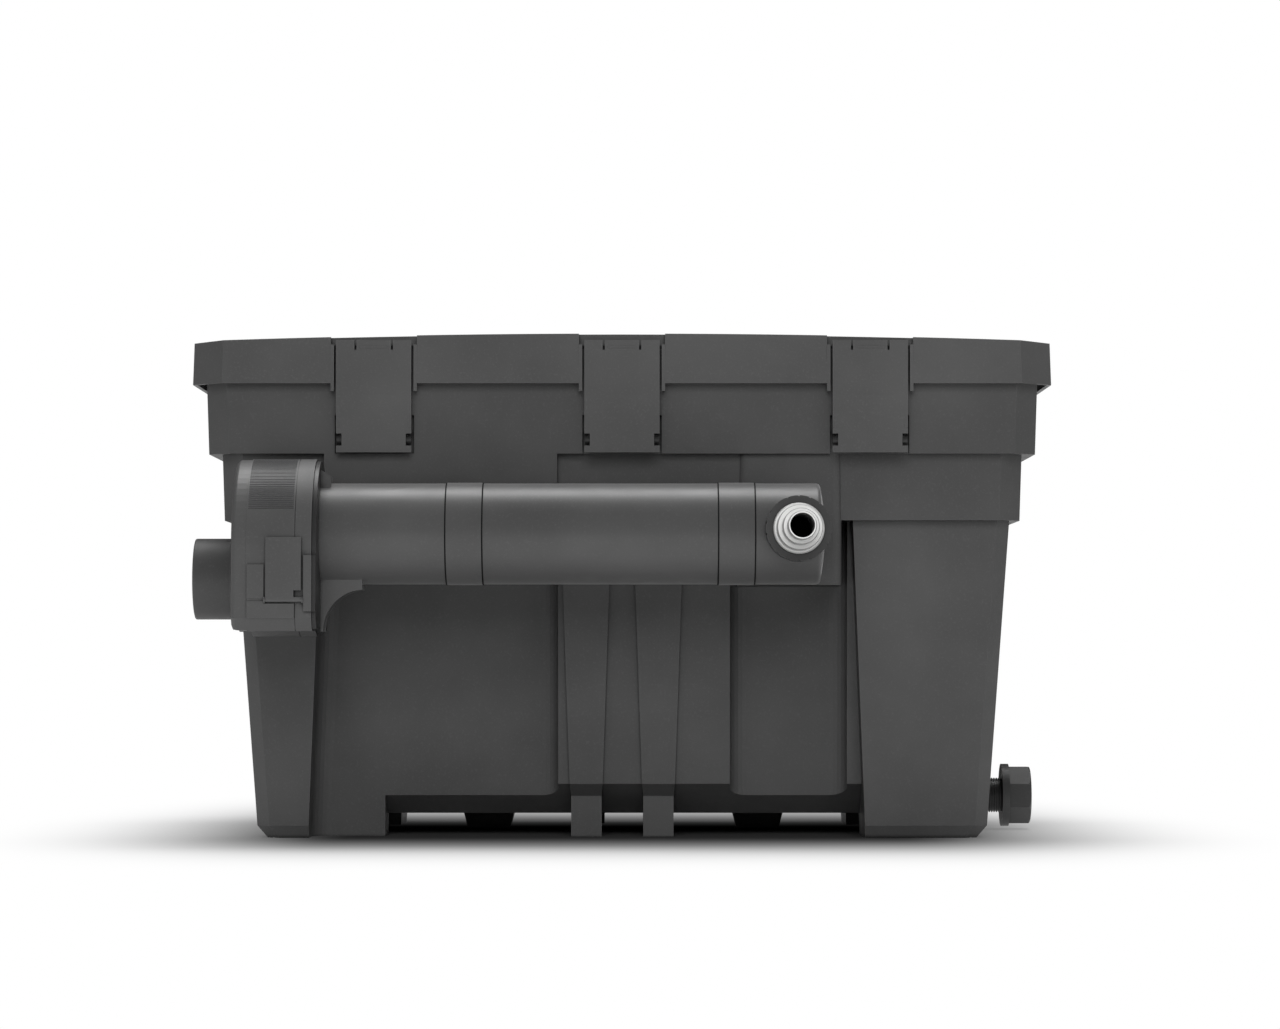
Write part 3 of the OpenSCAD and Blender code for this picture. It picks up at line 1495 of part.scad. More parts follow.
module turned_y(x, y, z) {
    translate([x, y, z]) rotate([90, 0, 0]) rotate_extrude() children();
}

module hose_tail() {
    neck = tail_flange_y - nut_face_y + tail_neck_l;
    bore_end = neck + len(tail_step_r) * tail_step_l;
    barbs = 3;
    plain_l = tail_step_l - barbs * barb_l;
    steps = [for (i = [0:len(tail_step_r) - 1]) let (r = tail_step_r[i], s = neck + i * tail_step_l)
        each concat([[r, s]], [for (k = [0:barbs - 1]) let (crest = s + plain_l + k * barb_l)
            each [[r, crest], [r, crest + barb_l / 4], [r - barb_h, crest + barb_l]]])];
    color("gainsboro") placed() turned_y(tail_x, tail_flange_y, tail_z) polygon(concat(
        [[tail_bore_r, 0], [socket_r - free_fit, 0], [socket_r - free_fit, tail_flange_t],
            [tail_collar_r, tail_flange_t], [tail_collar_r, neck - 1], [tail_collar_r - 1, neck]],
        steps,
        [[tail_bore_r, bore_end]]
    ));
}

module tail_gasket() {
    color(rubber) placed() ring_along_y(socket_r - free_fit, socket_r - 2 * wall, tail_x,
        tail_flange_y, socket_y, tail_z);
}

module union_nut() {
    back_y = nut_face_y + nut_l;
    color(dark_plastic) placed() difference() {
        rod_y(nut_r, tail_x, nut_face_y, back_y, tail_z);
        rod_y(tail_collar_r + free_fit, tail_x, nut_face_y - 1, back_y, tail_z);
        rod_y(socket_r + free_fit, tail_x, nut_face_y + nut_lip, back_y + 1, tail_z);
        for (i = [0:nut_notches - 1])
            translate([tail_x, nut_face_y - 1, tail_z]) rotate([0, 360 * i / nut_notches, 0])
                translate([-notch_w / 2, 0, nut_r - notch_d]) cube([notch_w, nut_l + 2, 2 * notch_d]);
    }
}

// ---- Lid ----

// Everything under the lid's crown, lowered by s
module crown_block(s) {
    half = lid_w / 2 + 10;
    strips = 32;
    translate([0, far, 0]) rotate([90, 0, 0]) linear_extrude(2 * far) polygon(concat(
        [[-half, 0], [half, 0]],
        [for (i = [strips:-1:0]) let (x = -half + 2 * half * i / strips) [x, crown_z(x) - s]]
    ));
}

module lid_block(z0, z1, t) {
    step_block(lid_w, lid_d, lid_chamfer, -rim_draft_deg, lid_edge_z, z0, z1, t);
}

module lid_panel(x0, x1) {
    y = lid_d / 2 - lid_border;
    difference() {
        translate([0, 0, skirt_z]) linear_extrude(2 * lid_h)
            polygon(round_plan(x0, x1, -y, y, lid_panel_r));
        crown_block(lid_panel_sink);
    }
}

module lid_ribs_below() {
    x1 = rim_w / 2 - 2 * wall - gasket_w;
    y1 = rim_d / 2 - 2 * wall - gasket_w;
    for (i = [1:lid_ribs]) {
        translate([-x1 + 2 * x1 * i / (lid_ribs + 1), -y1, lid_seat_z - lid_rib_h])
            cube([lid_rib_t, 2 * y1, lid_rib_h + 1]);
        translate([-x1, -y1 + 2 * y1 * i / (lid_ribs + 1), lid_seat_z - lid_rib_h])
            cube([2 * x1, lid_rib_t, lid_rib_h + 1]);
    }
}

// Catch bar behind a clip's tongue, on the edge of the lid's top
module catch_bar(x) {
    front = -clip_face_y + clip_t + free_fit;
    back = -rim_face_y - wall / 2;
    top = lid_edge_z - free_fit;
    extrude_x([
        [front, top - catch_h], [back, top - catch_h], [back, lid_seat_z], [back + wall, lid_seat_z],
        [back + wall, top], [front, top]
    ], x - catch_w / 2, x + catch_w / 2);
}

// Knuckle of the lid, on an arm that hangs from its skirt
module lid_knuckle(x) {
    root_y = lid_face_y - lid_wall + free_fit;
    root_z = skirt_z + knuckle_r;
    difference() {
        union() {
            rod_x(knuckle_r, x - lid_knuckle_w / 2, x + lid_knuckle_w / 2, hinge_y, hinge_z, $fn = fine);
            extrude_x([
                [root_y, root_z], [root_y, skirt_z], [hinge_y - knuckle_r, hinge_z],
                [hinge_y, hinge_z + knuckle_r], [lid_face_y - free_fit, root_z]
            ], x - lid_knuckle_w / 2, x + lid_knuckle_w / 2);
        }
        rod_x(hinge_pin_r + run_fit, x - lid_knuckle_w, x + lid_knuckle_w, hinge_y, hinge_z,
            $fn = fine);
    }
}

module lid() {
    panel_x = lid_w / 2 - lid_border;
    cut_h = lid_edge_z + 2 * crown_h;
    color(plastic) placed() {
        difference() {
            intersection() {
                lid_block(skirt_z, lid_edge_z + crown_h + 1, 0);
                crown_block(0);
            }
            difference() {
                lid_block(skirt_z - 1, lid_seat_z, lid_wall);
                for (x = clip_x)
                    translate([x - notch_half - lid_wall, -far, 0])
                        cube([2 * notch_half + 2 * lid_wall, far - rim_face_y - 4 * free_fit, cut_h]);
            }
            for (x = clip_x)
                translate([x - notch_half, -far, 0])
                    cube([2 * notch_half, far - rim_face_y, cut_h]);
            lid_panel(-panel_x, -lid_bar / 2);
            lid_panel(lid_bar / 2, panel_x);
        }
        lid_ribs_below();
        for (x = clip_x) {
            for (s = [-1, 1])
                translate([x + s * (notch_half - ear_t / 2) - ear_t / 2, -lid_face_y + free_fit,
                    skirt_z - ear_drop])
                    cube([ear_t, lid_face_y - rim_face_y - wall, lid_seat_z - skirt_z + ear_drop]);
            catch_bar(x);
        }
        for (x = [-hinge_x, hinge_x]) lid_knuckle(x);
    }
}

module lid_gasket() {
    hx = rim_w / 2 - free_fit;
    hy = rim_d / 2 - free_fit;
    color(rubber) placed() difference() {
        translate([0, 0, rim_top_z]) linear_extrude(gasket_t)
            polygon(cut_rect(hx, hy, rim_chamfer));
        translate([0, 0, rim_top_z - 1]) linear_extrude(gasket_t + 2)
            polygon(cut_rect(hx - gasket_w, hy - gasket_w, rim_chamfer - gasket_w / 2));
    }
}

// ---- Clips ----

module clip(x) {
    top = clip_z + clip_h;
    bend_z = top - clip_upper_h;
    face = -clip_face_y;
    flange_y = -rim_face_y - 2 - face;
    inner = clip_w / 2 - window_w;
    color(plastic) placed() translate([x, 0, 0]) difference() {
        union() {
            extrude_x([
                [face, top], [face, bend_z], [face + clip_lean, clip_z],
                [face + clip_lean + clip_t, clip_z], [face + clip_t, bend_z], [face + clip_t, top]
            ], -clip_w / 2, clip_w / 2);
            for (s = [-1, 1])
                translate([s * (clip_w - clip_t) / 2 - clip_t / 2, face + 1, clip_pivot_z + window_h])
                    cube([clip_t, flange_y - 1, top - clip_pivot_z - window_h - 4]);
            rod_x(clip_barrel_r, -inner + free_fit, inner - free_fit, -clip_pivot_y, clip_pivot_z,
                $fn = fine);
            translate([-ridge_w / 2, face - ridge_out, top - ridge_drop - ridge_h])
                cube([ridge_w, ridge_out + 1, ridge_h]);
        }
        rod_x(clip_pin_r + run_fit, -clip_w, clip_w, -clip_pivot_y, clip_pivot_z, $fn = fine);
        for (s = [-1, 1]) {
            translate([s * (clip_w - window_w) / 2 - window_w / 2 - (1 - s) / 2, face - 1,
                clip_pivot_z - window_h / 2])
                cube([window_w + 1, 3 * clip_pivot_in, window_h]);
            translate([s * slot_half - slot_w / 2, face - 1, top - slot_h])
                cube([slot_w, 2 * clip_t, slot_h + 1]);
        }
    }
}

module clip_left() {
    clip(clip_x[0]);
}

module clip_centre() {
    clip(clip_x[1]);
}

module clip_right() {
    clip(clip_x[2]);
}

tank();
front_divider();
right_divider();
left_divider();
media_grid();
foam_coarse();
foam_medium();
foam_fine();
media_basket();
ceramic_rings();
hinge_pins();
clip_pins();
outlet_pipe();
outlet_gasket();
outlet_nut();
drain_spigot();
drain_gasket();
drain_nut();
uv_tube();
port_gasket();
port_nut();
band_ring();
coupling_ring();
end_cap();
end_cap_seal();
end_cap_screws();
head_bracket();
bracket_screws();
lid();
lid_gasket();
clip_left();
clip_centre();
clip_right();
head_housing();
head_cover();
head_window();
cable_grommet();
head_seal();
ballast();
lamp_socket();
uv_lamp();
quartz_sleeve();
sleeve_nut();
latch_pin();
head_latch();
hose_tail();
tail_gasket();
union_nut();
cap_seal();
drain_cap();
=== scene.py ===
import math

import bmesh
import bpy
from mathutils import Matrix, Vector


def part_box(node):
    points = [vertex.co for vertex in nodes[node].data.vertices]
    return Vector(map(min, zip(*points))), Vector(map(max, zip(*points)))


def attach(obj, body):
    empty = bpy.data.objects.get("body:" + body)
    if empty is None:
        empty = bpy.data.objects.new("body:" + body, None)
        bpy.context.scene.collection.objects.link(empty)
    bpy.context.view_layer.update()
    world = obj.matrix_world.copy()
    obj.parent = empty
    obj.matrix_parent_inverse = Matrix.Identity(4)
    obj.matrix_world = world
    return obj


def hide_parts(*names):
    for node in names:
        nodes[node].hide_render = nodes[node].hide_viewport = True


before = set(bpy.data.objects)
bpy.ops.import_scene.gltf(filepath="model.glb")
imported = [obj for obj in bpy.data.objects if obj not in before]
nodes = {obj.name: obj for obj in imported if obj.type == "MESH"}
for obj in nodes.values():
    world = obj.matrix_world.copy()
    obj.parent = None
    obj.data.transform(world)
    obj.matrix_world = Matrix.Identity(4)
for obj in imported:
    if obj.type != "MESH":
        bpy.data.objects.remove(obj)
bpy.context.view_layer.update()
tank_middle = [(a + b) / 2 for a, b in zip(*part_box("lid_gasket"))]

# ---- Camera: low and far in front, a long lens pitched up two degrees ----
LENS_MM, SENSOR_MM = 123.75, 36
CAMERA_ASIDE, CAMERA_AHEAD, CAMERA_HEIGHT = 0.0163, 3.9713, 0.1556
CAMERA_TILT_DEG = 91.998  # 90 looks level
CAMERA_CLIP_END = 60

camera_data = bpy.data.cameras.new("camera")
camera_data.sensor_fit = "HORIZONTAL"
camera_data.sensor_width = SENSOR_MM
camera_data.lens = LENS_MM
camera_data.clip_end = CAMERA_CLIP_END
camera = bpy.data.objects.new("camera", camera_data)
camera.location = (tank_middle[0] + CAMERA_ASIDE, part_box("lid")[0][1] - CAMERA_AHEAD, CAMERA_HEIGHT)
camera.rotation_euler = (math.radians(CAMERA_TILT_DEG), 0, 0)
bpy.context.scene.collection.objects.link(camera)
bpy.context.scene.camera = camera
bpy.context.scene.view_settings.view_transform = "Standard"


# ---- Shader helpers ----
def cleared(owner, output):
    """The node tree of a material or world, with nothing in it but its output, and that output."""
    owner.use_nodes = True
    t = owner.node_tree
    t.nodes.clear()
    return t, t.nodes.new(output).inputs[0]


def new_material(name):
    m = bpy.data.materials.new(name)
    t, out = cleared(m, "ShaderNodeOutputMaterial")
    bsdf = t.nodes.new("ShaderNodeBsdfPrincipled")
    t.links.new(bsdf.outputs[0], out)
    return m, t, bsdf


def noise(t, place, scale, detail=2.0, rough=0.5):
    n = t.nodes.new("ShaderNodeTexNoise")
    n.inputs["Scale"].default_value = scale
    n.inputs["Detail"].default_value = detail
    n.inputs["Roughness"].default_value = rough
    t.links.new(place, n.inputs["Vector"])
    return n.outputs["Fac"]


def spread(t, value, from_low, from_high, to_low=0, to_high=1):
    r = t.nodes.new("ShaderNodeMapRange")
    r.inputs["From Min"].default_value = from_low
    r.inputs["From Max"].default_value = from_high
    r.inputs["To Min"].default_value = to_low
    r.inputs["To Max"].default_value = to_high
    t.links.new(value, r.inputs["Value"])
    return r.outputs[0]


def mix_colour(t, factor, a, b):
    m = t.nodes.new("ShaderNodeMix")
    m.data_type = "RGBA"
    t.links.new(factor, m.inputs[0])
    for socket, c in ((m.inputs[6], a), (m.inputs[7], b)):
        if isinstance(c, tuple):
            socket.default_value = c + (1,)
        else:
            t.links.new(c, socket)
    return m.outputs[2]


def mix_shaders(t, factor, a, b):
    m = t.nodes.new("ShaderNodeMixShader")
    for socket, source in zip(m.inputs, (factor, a, b)):
        t.links.new(source, socket)
    return m.outputs[0]


def bump(t, bsdf, height, distance):
    b = t.nodes.new("ShaderNodeBump")
    b.inputs["Distance"].default_value = distance
    b.inputs["Strength"].default_value = 1.0
    t.links.new(height, b.inputs["Height"])
    t.links.new(b.outputs[0], bsdf.inputs["Normal"])


def coord(t, kind):
    return t.nodes.new("ShaderNodeTexCoord").outputs[kind]


def separate(t, vector):
    split = t.nodes.new("ShaderNodeSeparateXYZ")
    t.links.new(vector, split.inputs[0])
    return split.outputs


def calculate(t, operation, a, b=0.0):
    step = t.nodes.new("ShaderNodeMath")
    step.operation = operation
    for socket, value in zip(step.inputs, (a, b)):
        if isinstance(value, (int, float)):
            socket.default_value = value
        else:
            t.links.new(value, socket)
    return step.outputs[0]


def near_surface(t, distance, inside):
    """1 in the open, falling where other surface lies within the distance, outside or inside it."""
    n = t.nodes.new("ShaderNodeAmbientOcclusion")
    n.samples = 4
    n.inside = inside
    n.only_local = inside
    n.inputs["Distance"].default_value = distance
    return n.outputs["AO"]


def shade(colour, factor, lift=0.0):
    return tuple(min(1, c * factor + lift) for c in colour)


# ---- Materials ----
CLOUD_SCALE, SPECK_SCALE, GLOSS_SCALE = 7, 520, 16  # noise cells per metre
EDGE_WEAR_AND_HIGHLIGHT_REACH = 0.0012
SPECK_SHARE = 0.35
SHEEN_ROUGHNESS = 0.4


def moulded(name, colour, rough, grain=1400, depth=0.00003, vary=0.12, edge_wear_and_highlight_amount=0.35, specular=0.5,
            crease_shade_tone=0.3, crease_shade_reach=0.004, sheen=0.0):
    """Moulded plastic: spark-eroded grain, faint flow clouds, edges paler from wear and painted
    highlight, painted shade in creases.
    """
    m, t, bsdf = new_material(name)
    co = coord(t, "Object")
    clouds = spread(t, noise(t, co, CLOUD_SCALE, 4, 0.55), 0.35, 0.65)
    base = mix_colour(t, clouds, shade(colour, 1 - vary), shade(colour, 1 + vary))
    speck = spread(t, noise(t, co, SPECK_SCALE), 0.56, 0.72, 0, SPECK_SHARE)
    base = mix_colour(t, speck, base, shade(colour, 1.5))
    # Paler edges: partly wear, partly a painted highlight where rounded edges catch the light
    edge_wear_and_highlight = spread(t, near_surface(t, EDGE_WEAR_AND_HIGHLIGHT_REACH, True), 0.85, 0.4, 0, edge_wear_and_highlight_amount)
    base = mix_colour(t, edge_wear_and_highlight, base, shade(colour, 1.7, lift=0.005))
    # Painted shade: darker where other surface lies close, in creases, joints and under lips
    crease_shade = spread(t, near_surface(t, crease_shade_reach, False), 0.3, 0.75, 1, 0)
    base = mix_colour(t, crease_shade, base, shade(colour, crease_shade_tone))
    t.links.new(base, bsdf.inputs["Base Color"])
    gloss = spread(t, noise(t, co, GLOSS_SCALE, 5, 0.6), 0.3, 0.7, rough - 0.05, rough + 0.06)
    t.links.new(gloss, bsdf.inputs["Roughness"])
    bsdf.inputs["Specular IOR Level"].default_value = specular
    bsdf.inputs["Sheen Weight"].default_value = sheen
    bsdf.inputs["Sheen Roughness"].default_value = SHEEN_ROUGHNESS
    bump(t, bsdf, noise(t, co, grain, 3, 0.6), depth)
    return m


def paint_light_on_ends(m, axis, colour):
    """Painted light and shade: makes the faces across an axis paler than the walls along it."""
    t = m.node_tree
    base = t.nodes["Principled BSDF"].inputs["Base Color"]
    walls = base.links[0].from_socket
    across = calculate(t, "ABSOLUTE", separate(t, coord(t, "Normal"))[axis])
    t.links.new(mix_colour(t, spread(t, across, 0.7, 0.95), walls, colour), base)


MATERIALS = {
    "tank": moulded("tank_plastic", (0.064, 0.064, 0.064), 0.52, grain=1100, depth=0.00006),
    # The lid's plastic is paler than the tank's as painted light, for the light the lid takes from
    # above
    "lid": moulded("lid_plastic", (0.074, 0.074, 0.074), 0.5, grain=1100, depth=0.00006),
    "head": moulded("head_plastic", (0.068, 0.068, 0.068), 0.5, grain=1800, depth=0.00002,
                    edge_wear_and_highlight_amount=0.2, crease_shade_tone=0.15, crease_shade_reach=0.006),
    "tube": moulded("tube_plastic", (0.062, 0.062, 0.062), 0.4, grain=1800, depth=0.00002,
                    edge_wear_and_highlight_amount=0, sheen=0.3),
    "dark": moulded("dark_plastic", (0.04, 0.04, 0.04), 0.45, grain=1500),
    # Painted shade for the joint gaps on the tube
    "joint_gap_shade": moulded("joint_gap_shade", (0.006, 0.006, 0.006), 0.8, specular=0.1),
    # Dark plastic for the drain's thread, also laid on shaded polygons as painted shade
    "thread": moulded("thread_plastic", (0.02, 0.02, 0.02), 0.4, grain=1500),
    "window": moulded("window_plastic", (0.058, 0.058, 0.059), 0.42, grain=900, depth=0.00001,
                      vary=0.3),
    "tail": moulded("tail_plastic", (0.4, 0.4, 0.395), 0.35, grain=1500, depth=0.00002, vary=0.03,
                    crease_shade_tone=0.12, crease_shade_reach=0.012),
    "rubber": moulded("rubber", (0.018, 0.018, 0.019), 0.7, grain=1500, depth=0.00004),
    "steel": moulded("steel", (0.55, 0.55, 0.56), 0.3, grain=900, depth=0.00001),
    "basket": moulded("basket_plastic", (0.1, 0.1, 0.105), 0.5),
    "ceramic": moulded("ceramic", (0.66, 0.6, 0.5), 0.85, grain=700, depth=0.0002),
}
# Painted light and shade on the hose tail: its end faces, lit from the front, paler than its walls
paint_light_on_ends(MATERIALS["tail"], 1, (0.8, 0.8, 0.79))
MATERIALS["steel"].node_tree.nodes["Principled BSDF"].inputs["Metallic"].default_value = 1.0

# Each node's material; the seals, the ballast, the lamp and its sleeve take the rubber's
BY_NODE = {
    "tank": "tank", "lid": "lid", "uv_tube": "tube", "band_ring": "tube", "coupling_ring": "tube",
    "end_cap": "tube", "clip_left": "lid", "clip_centre": "lid", "clip_right": "lid",
    "head_housing": "head", "head_cover": "head", "head_latch": "head", "head_window": "window",
    "head_bracket": "head", "outlet_pipe": "tank", "outlet_nut": "dark", "drain_spigot": "thread",
    "drain_nut": "dark", "drain_cap": "dark", "port_nut": "dark", "union_nut": "dark",
    "sleeve_nut": "dark", "front_divider": "dark", "right_divider": "dark",
    "left_divider": "dark", "media_grid": "dark", "media_basket": "basket",
    "ceramic_rings": "ceramic", "hinge_pins": "steel", "clip_pins": "steel",
    "latch_pin": "steel", "end_cap_screws": "steel", "bracket_screws": "steel",
    "hose_tail": "tail", "lamp_socket": "tail",
}

# ---- The CAD nodes: finely rounded edges, flat faces kept flat ----
BEVEL_MM = {"tank": 1.6, "lid": 1.6, "clip_left": 0.6, "clip_centre": 0.6, "clip_right": 0.6,
            "head_housing": 0.8, "head_cover": 0.6, "head_latch": 0.6, "head_bracket": 0.6,
            "end_cap": 0.6, "drain_cap": 1.2, "union_nut": 0.3}
OTHER_BEVEL_MM = 0.3
BEVEL_SEGMENTS = 3
SHARP_FROM_DEG = 30
SAME_FACE_DEG, CREASE_FROM_DEG = 0.3, 0.6
MERGE_DEG = 0.5
WIDEST_FACET = 0.009
LUG_MARGIN = 0.008
PLATE_FROM, PLATE_TO = -0.004, 0.0005  # across the plate, from the tube's left end


def mark_creases(mesh):
    """Marks the edge between two broad faces at a small angle, so that each is shaded flat."""
    bm = bmesh.new()
    bm.from_mesh(mesh)
    bm.faces.ensure_lookup_table()
    region = [-1] * len(bm.faces)
    width = []
    for seed in bm.faces:
        if region[seed.index] >= 0:
            continue
        region[seed.index] = len(width)
        area, rim, todo = 0, 0, [seed]
        while todo:
            face = todo.pop()
            area += face.calc_area()
            for edge in face.edges:
                other = next((f for f in edge.link_faces if f != face), None)
                if other is None or edge.calc_face_angle(0) > math.radians(SAME_FACE_DEG):
                    rim += edge.calc_length()
                elif region[other.index] < 0:
                    region[other.index] = len(width)
                    todo.append(other)
        width.append(2 * area / max(rim, 1e-6))
    for edge in bm.edges:
        if len(edge.link_faces) == 2 and edge.calc_face_angle(0) > math.radians(CREASE_FROM_DEG):
            if all(width[region[f.index]] > WIDEST_FACET for f in edge.link_faces):
                mesh.edges[edge.index].use_edge_sharp = True
    bm.free()


def paint_shade_inside(node, low, high, axes):
    """Painted shade: gives a second, dark material to the polygons that lie wholly between two
    corners.
    """
    node.data.materials.append(MATERIALS["thread"])
    inside = []
    for vertex in node.data.vertices:
        place = node.matrix_world @ vertex.co
        inside.append(all(low[i] < place[i] < high[i] for i in axes))
    for polygon in node.data.polygons:
        if all(inside[i] for i in polygon.vertices):
            polygon.material_index = 1


for name, node in nodes.items():
    mark_creases(node.data)
    node.data.materials.clear()
    node.data.materials.append(MATERIALS[BY_NODE.get(name, "rubber")])
    if name == "tank":
        # The lugs behind the clips' windows sit in deep shade, painted on them as a dark material
        low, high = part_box("clip_pins")
        paint_shade_inside(node, [v - LUG_MARGIN for v in low], [v + LUG_MARGIN for v in high], (1, 2))
    if name == "head_bracket":
        # The plate between the head and the tube: painted dark, as shade for the shadowed gap between
        # them
        tube_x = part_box("uv_tube")[0][0]
        paint_shade_inside(node, [tube_x + PLATE_FROM], [tube_x + PLATE_TO], (0,))
    node.data.polygons.foreach_set("use_smooth", [True] * len(node.data.polygons))
    flat = node.modifiers.new("flat", "DECIMATE")
    flat.decimate_type = "DISSOLVE"
    flat.angle_limit = math.radians(MERGE_DEG)
    flat.delimit = {"SHARP", "MATERIAL"}
    bevel = node.modifiers.new("edges", "BEVEL")
    bevel.width = BEVEL_MM.get(name, OTHER_BEVEL_MM) / 1000
    bevel.segments = BEVEL_SEGMENTS
    bevel.limit_method = "ANGLE"
    bevel.angle_limit = math.radians(SHARP_FROM_DEG)
    normals = node.modifiers.new("normals", "WEIGHTED_NORMAL")
    normals.mode = "FACE_AREA"
    normals.weight = 80
    normals.keep_sharp = True

# ---- Painted shade: dark lines where the rings meet the tube, for the shadow in the joint gaps ----
LINE_RADIUS, LINE_SUNK = 0.0008, 0.0005


def joint_line(name, x, ring):
    low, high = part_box(ring)
    bpy.ops.mesh.primitive_torus_add(
        location=(x, (low[1] + high[1]) / 2, (low[2] + high[2]) / 2),
        rotation=(0, math.pi / 2, 0),
        major_radius=(high[2] - low[2]) / 2 - LINE_SUNK, minor_radius=LINE_RADIUS,
        major_segments=128, minor_segments=6)
    line = bpy.context.object
    line.name = name
    line.data.materials.append(MATERIALS["joint_gap_shade"])
    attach(line, "box")


for ring in ("band_ring", "coupling_ring"):
    low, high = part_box(ring)
    joint_line(ring + "_line_left", low[0], ring)
    joint_line(ring + "_line_right", high[0], ring)

# ---- Foam blocks: the CAD block's own shape, with open cells all over it ----
FOAM_VOXEL = 0.0035
PIT_DEPTH = 0.35  # of a cell


def foam(name, material, cell):
    node = nodes[name]
    rough = node.copy()
    rough.data = node.data.copy()
    rough.modifiers.clear()
    bpy.context.scene.collection.objects.link(rough)
    cells = bpy.data.textures.new(name + "_cells", "VORONOI")
    cells.noise_scale = cell
    grid = rough.modifiers.new("grid", "REMESH")
    grid.mode = "VOXEL"
    grid.voxel_size = FOAM_VOXEL
    pits = rough.modifiers.new("pits", "DISPLACE")
    pits.texture = cells
    pits.texture_coords = "GLOBAL"
    pits.mid_level = 1.0
    pits.strength = PIT_DEPTH * cell
    baked = rough.evaluated_get(bpy.context.evaluated_depsgraph_get())
    piece = bpy.data.objects.new(name + "_open", bpy.data.meshes.new_from_object(baked))
    piece.matrix_world = rough.matrix_world
    bpy.data.objects.remove(rough)
    bpy.context.scene.collection.objects.link(piece)
    piece.data.materials.clear()
    piece.data.materials.append(material)
    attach(piece, "box")
    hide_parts(name)


def foam_material(name, colour, cell):
    m, t, bsdf = new_material(name)
    pores = t.nodes.new("ShaderNodeTexVoronoi")
    pores.inputs["Scale"].default_value = 1 / cell
    t.links.new(coord(t, "Object"), pores.inputs["Vector"])
    # Painted shade: each pore darkens towards its middle, where it is deepest
    depth = spread(t, pores.outputs["Distance"], 0.1, 0.6)
    t.links.new(mix_colour(t, depth, shade(colour, 0.15), colour), bsdf.inputs["Base Color"])
    bsdf.inputs["Roughness"].default_value = 0.95
    bump(t, bsdf, depth, cell / 3)
    return m


foam("foam_coarse", foam_material("foam_blue", (0.05, 0.12, 0.3), 0.005), 0.008)
foam("foam_medium", foam_material("foam_black", (0.035, 0.035, 0.038), 0.0035), 0.006)
foam("foam_fine", foam_material("foam_green", (0.06, 0.16, 0.08), 0.0025), 0.005)

# ---- Floor: white, with a painted shadow round the box: a dark patch that fades out as its shadow does ----
SHADE_HALF_X, SHADE_REACH_X = 0.245, 0.39
SHADE_FRONT_Y, SHADE_REACH_FRONT = -0.2, 0.78
SHADE_BACK_Y, SHADE_REACH_BACK = 0.05, 1.4
FLOOR_PAINTED_SHADOW, FLOOR_PALE, FLOOR_BOUNCE = (0.06, 0.06, 0.06), (0.9, 0.9, 0.9), (0.8, 0.8, 0.8)
MIRRORED_FADE = 2.5  # how much sooner the floor is white in reflections
FLOOR_SIZE, FLOOR_BACK = 40, 8


def fade_from_box(t):
    """0 under the box and just in front of it, rising to 1 where its shadow has faded out."""
    place = separate(t, t.nodes.new("ShaderNodeNewGeometry").outputs["Position"])
    aside = calculate(t, "ABSOLUTE", calculate(t, "SUBTRACT", place[0], tank_middle[0]))
    behind = calculate(t, "SUBTRACT", place[1], tank_middle[1])
    ahead = calculate(t, "MULTIPLY", behind, -1)
    join = t.nodes.new("ShaderNodeCombineXYZ")
    for axis, value, start, reach in ((0, aside, SHADE_HALF_X, SHADE_REACH_X),
                                      (1, ahead, -SHADE_FRONT_Y, SHADE_REACH_FRONT),
                                      (2, behind, SHADE_BACK_Y, SHADE_REACH_BACK)):
        past = calculate(t, "MAXIMUM", calculate(t, "SUBTRACT", value, start), 0)
        t.links.new(calculate(t, "DIVIDE", past, reach), join.inputs[axis])
    distance = t.nodes.new("ShaderNodeVectorMath")
    distance.operation = "LENGTH"
    t.links.new(join.outputs[0], distance.inputs[0])
    r = t.nodes.new("ShaderNodeMapRange")
    r.interpolation_type = "SMOOTHSTEP"
    t.links.new(distance.outputs["Value"], r.inputs["Value"])
    return r.outputs[0]


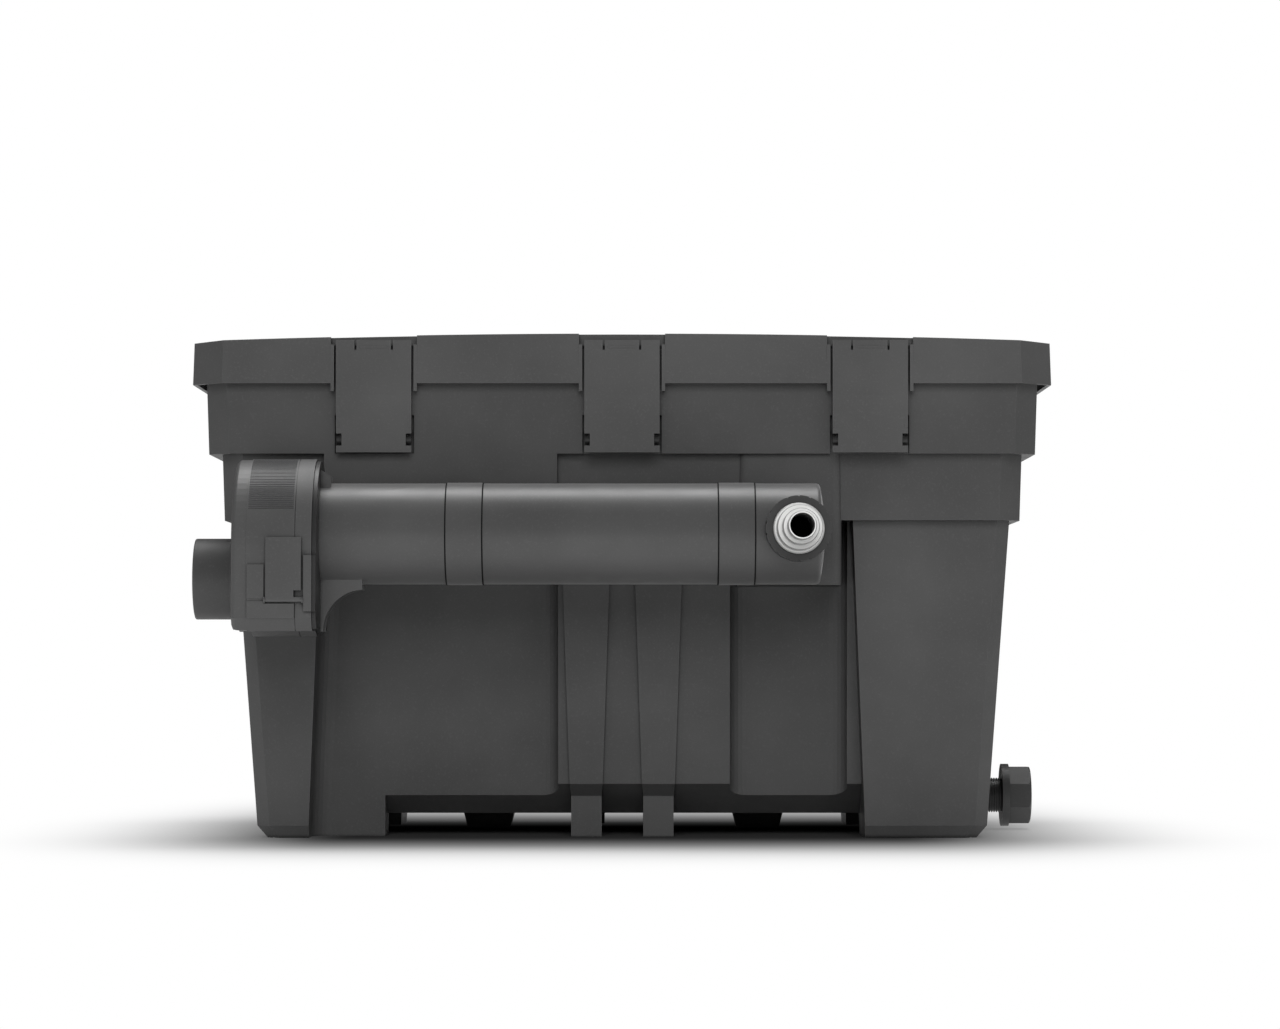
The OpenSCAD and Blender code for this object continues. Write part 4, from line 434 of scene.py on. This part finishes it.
def floor_material():
    """Lit by the lamps near the box, with a painted shadow in its colour there; plain white to the
    camera and to reflections further out.
    """
    m = bpy.data.materials.new("floor")
    t, out = cleared(m, "ShaderNodeOutputMaterial")
    fade = fade_from_box(t)
    near = t.nodes.new("ShaderNodeBsdfDiffuse")
    t.links.new(mix_colour(t, fade, FLOOR_PAINTED_SHADOW, FLOOR_PALE), near.inputs[0])
    white = t.nodes.new("ShaderNodeEmission")
    white.inputs["Strength"].default_value = 1.0
    bounce = t.nodes.new("ShaderNodeBsdfDiffuse")
    bounce.inputs[0].default_value = FLOOR_BOUNCE + (1,)
    ray = t.nodes.new("ShaderNodeLightPath").outputs
    direct = calculate(t, "MULTIPLY", ray["Is Camera Ray"], fade)
    sooner = calculate(t, "MINIMUM", calculate(t, "MULTIPLY", fade, MIRRORED_FADE), 1)
    mirrored = calculate(t, "MULTIPLY", ray["Is Glossy Ray"], sooner)
    seen = mix_shaders(t, calculate(t, "MAXIMUM", direct, mirrored),
                       near.outputs[0], white.outputs[0])
    t.links.new(mix_shaders(t, ray["Is Diffuse Ray"], seen, bounce.outputs[0]), out)
    return m


bpy.ops.mesh.primitive_plane_add(size=FLOOR_SIZE, location=(0, FLOOR_BACK, 0))
floor = bpy.context.object
floor.name = "floor"
floor.data.materials.append(floor_material())

# ---- World: a dim white light, seen as plain white by the camera and through glass ----
WORLD_LIGHT, WORLD_SEEN = 0.17, 1.0


def background(t, strength):
    b = t.nodes.new("ShaderNodeBackground")
    b.inputs["Color"].default_value = (1, 1, 1, 1)
    b.inputs["Strength"].default_value = strength
    return b.outputs[0]


world = bpy.data.worlds.new("world")
bpy.context.scene.world = world
t, out = cleared(world, "ShaderNodeOutputWorld")
ray = t.nodes.new("ShaderNodeLightPath").outputs
seen = calculate(t, "MAXIMUM", ray["Is Camera Ray"], ray["Is Transmission Ray"])
t.links.new(mix_shaders(t, seen, background(t, WORLD_LIGHT), background(t, WORLD_SEEN)), out)


# ---- Lamps ----
def softbox(name, location, target, size, watts, in_gloss=True):
    data = bpy.data.lights.new(name, "AREA")
    data.shape = "RECTANGLE"
    data.size, data.size_y = size
    data.energy = watts
    lamp = bpy.data.objects.new(name, data)
    lamp.visible_glossy = in_gloss
    lamp.location = location
    aim = Vector(target) - Vector(location)
    lamp.rotation_euler = aim.to_track_quat("-Z", "Y").to_euler()
    bpy.context.scene.collection.objects.link(lamp)


softbox("top_softbox", location=(0, 0.45, 2.6), target=(0, 0, 0.2), size=(2.4, 1.3), watts=62)
softbox("front_softbox", location=(0, -4.6, 2.0), target=(0, 0, 0.25), size=(2.6, 2.2), watts=140,
        in_gloss=False)
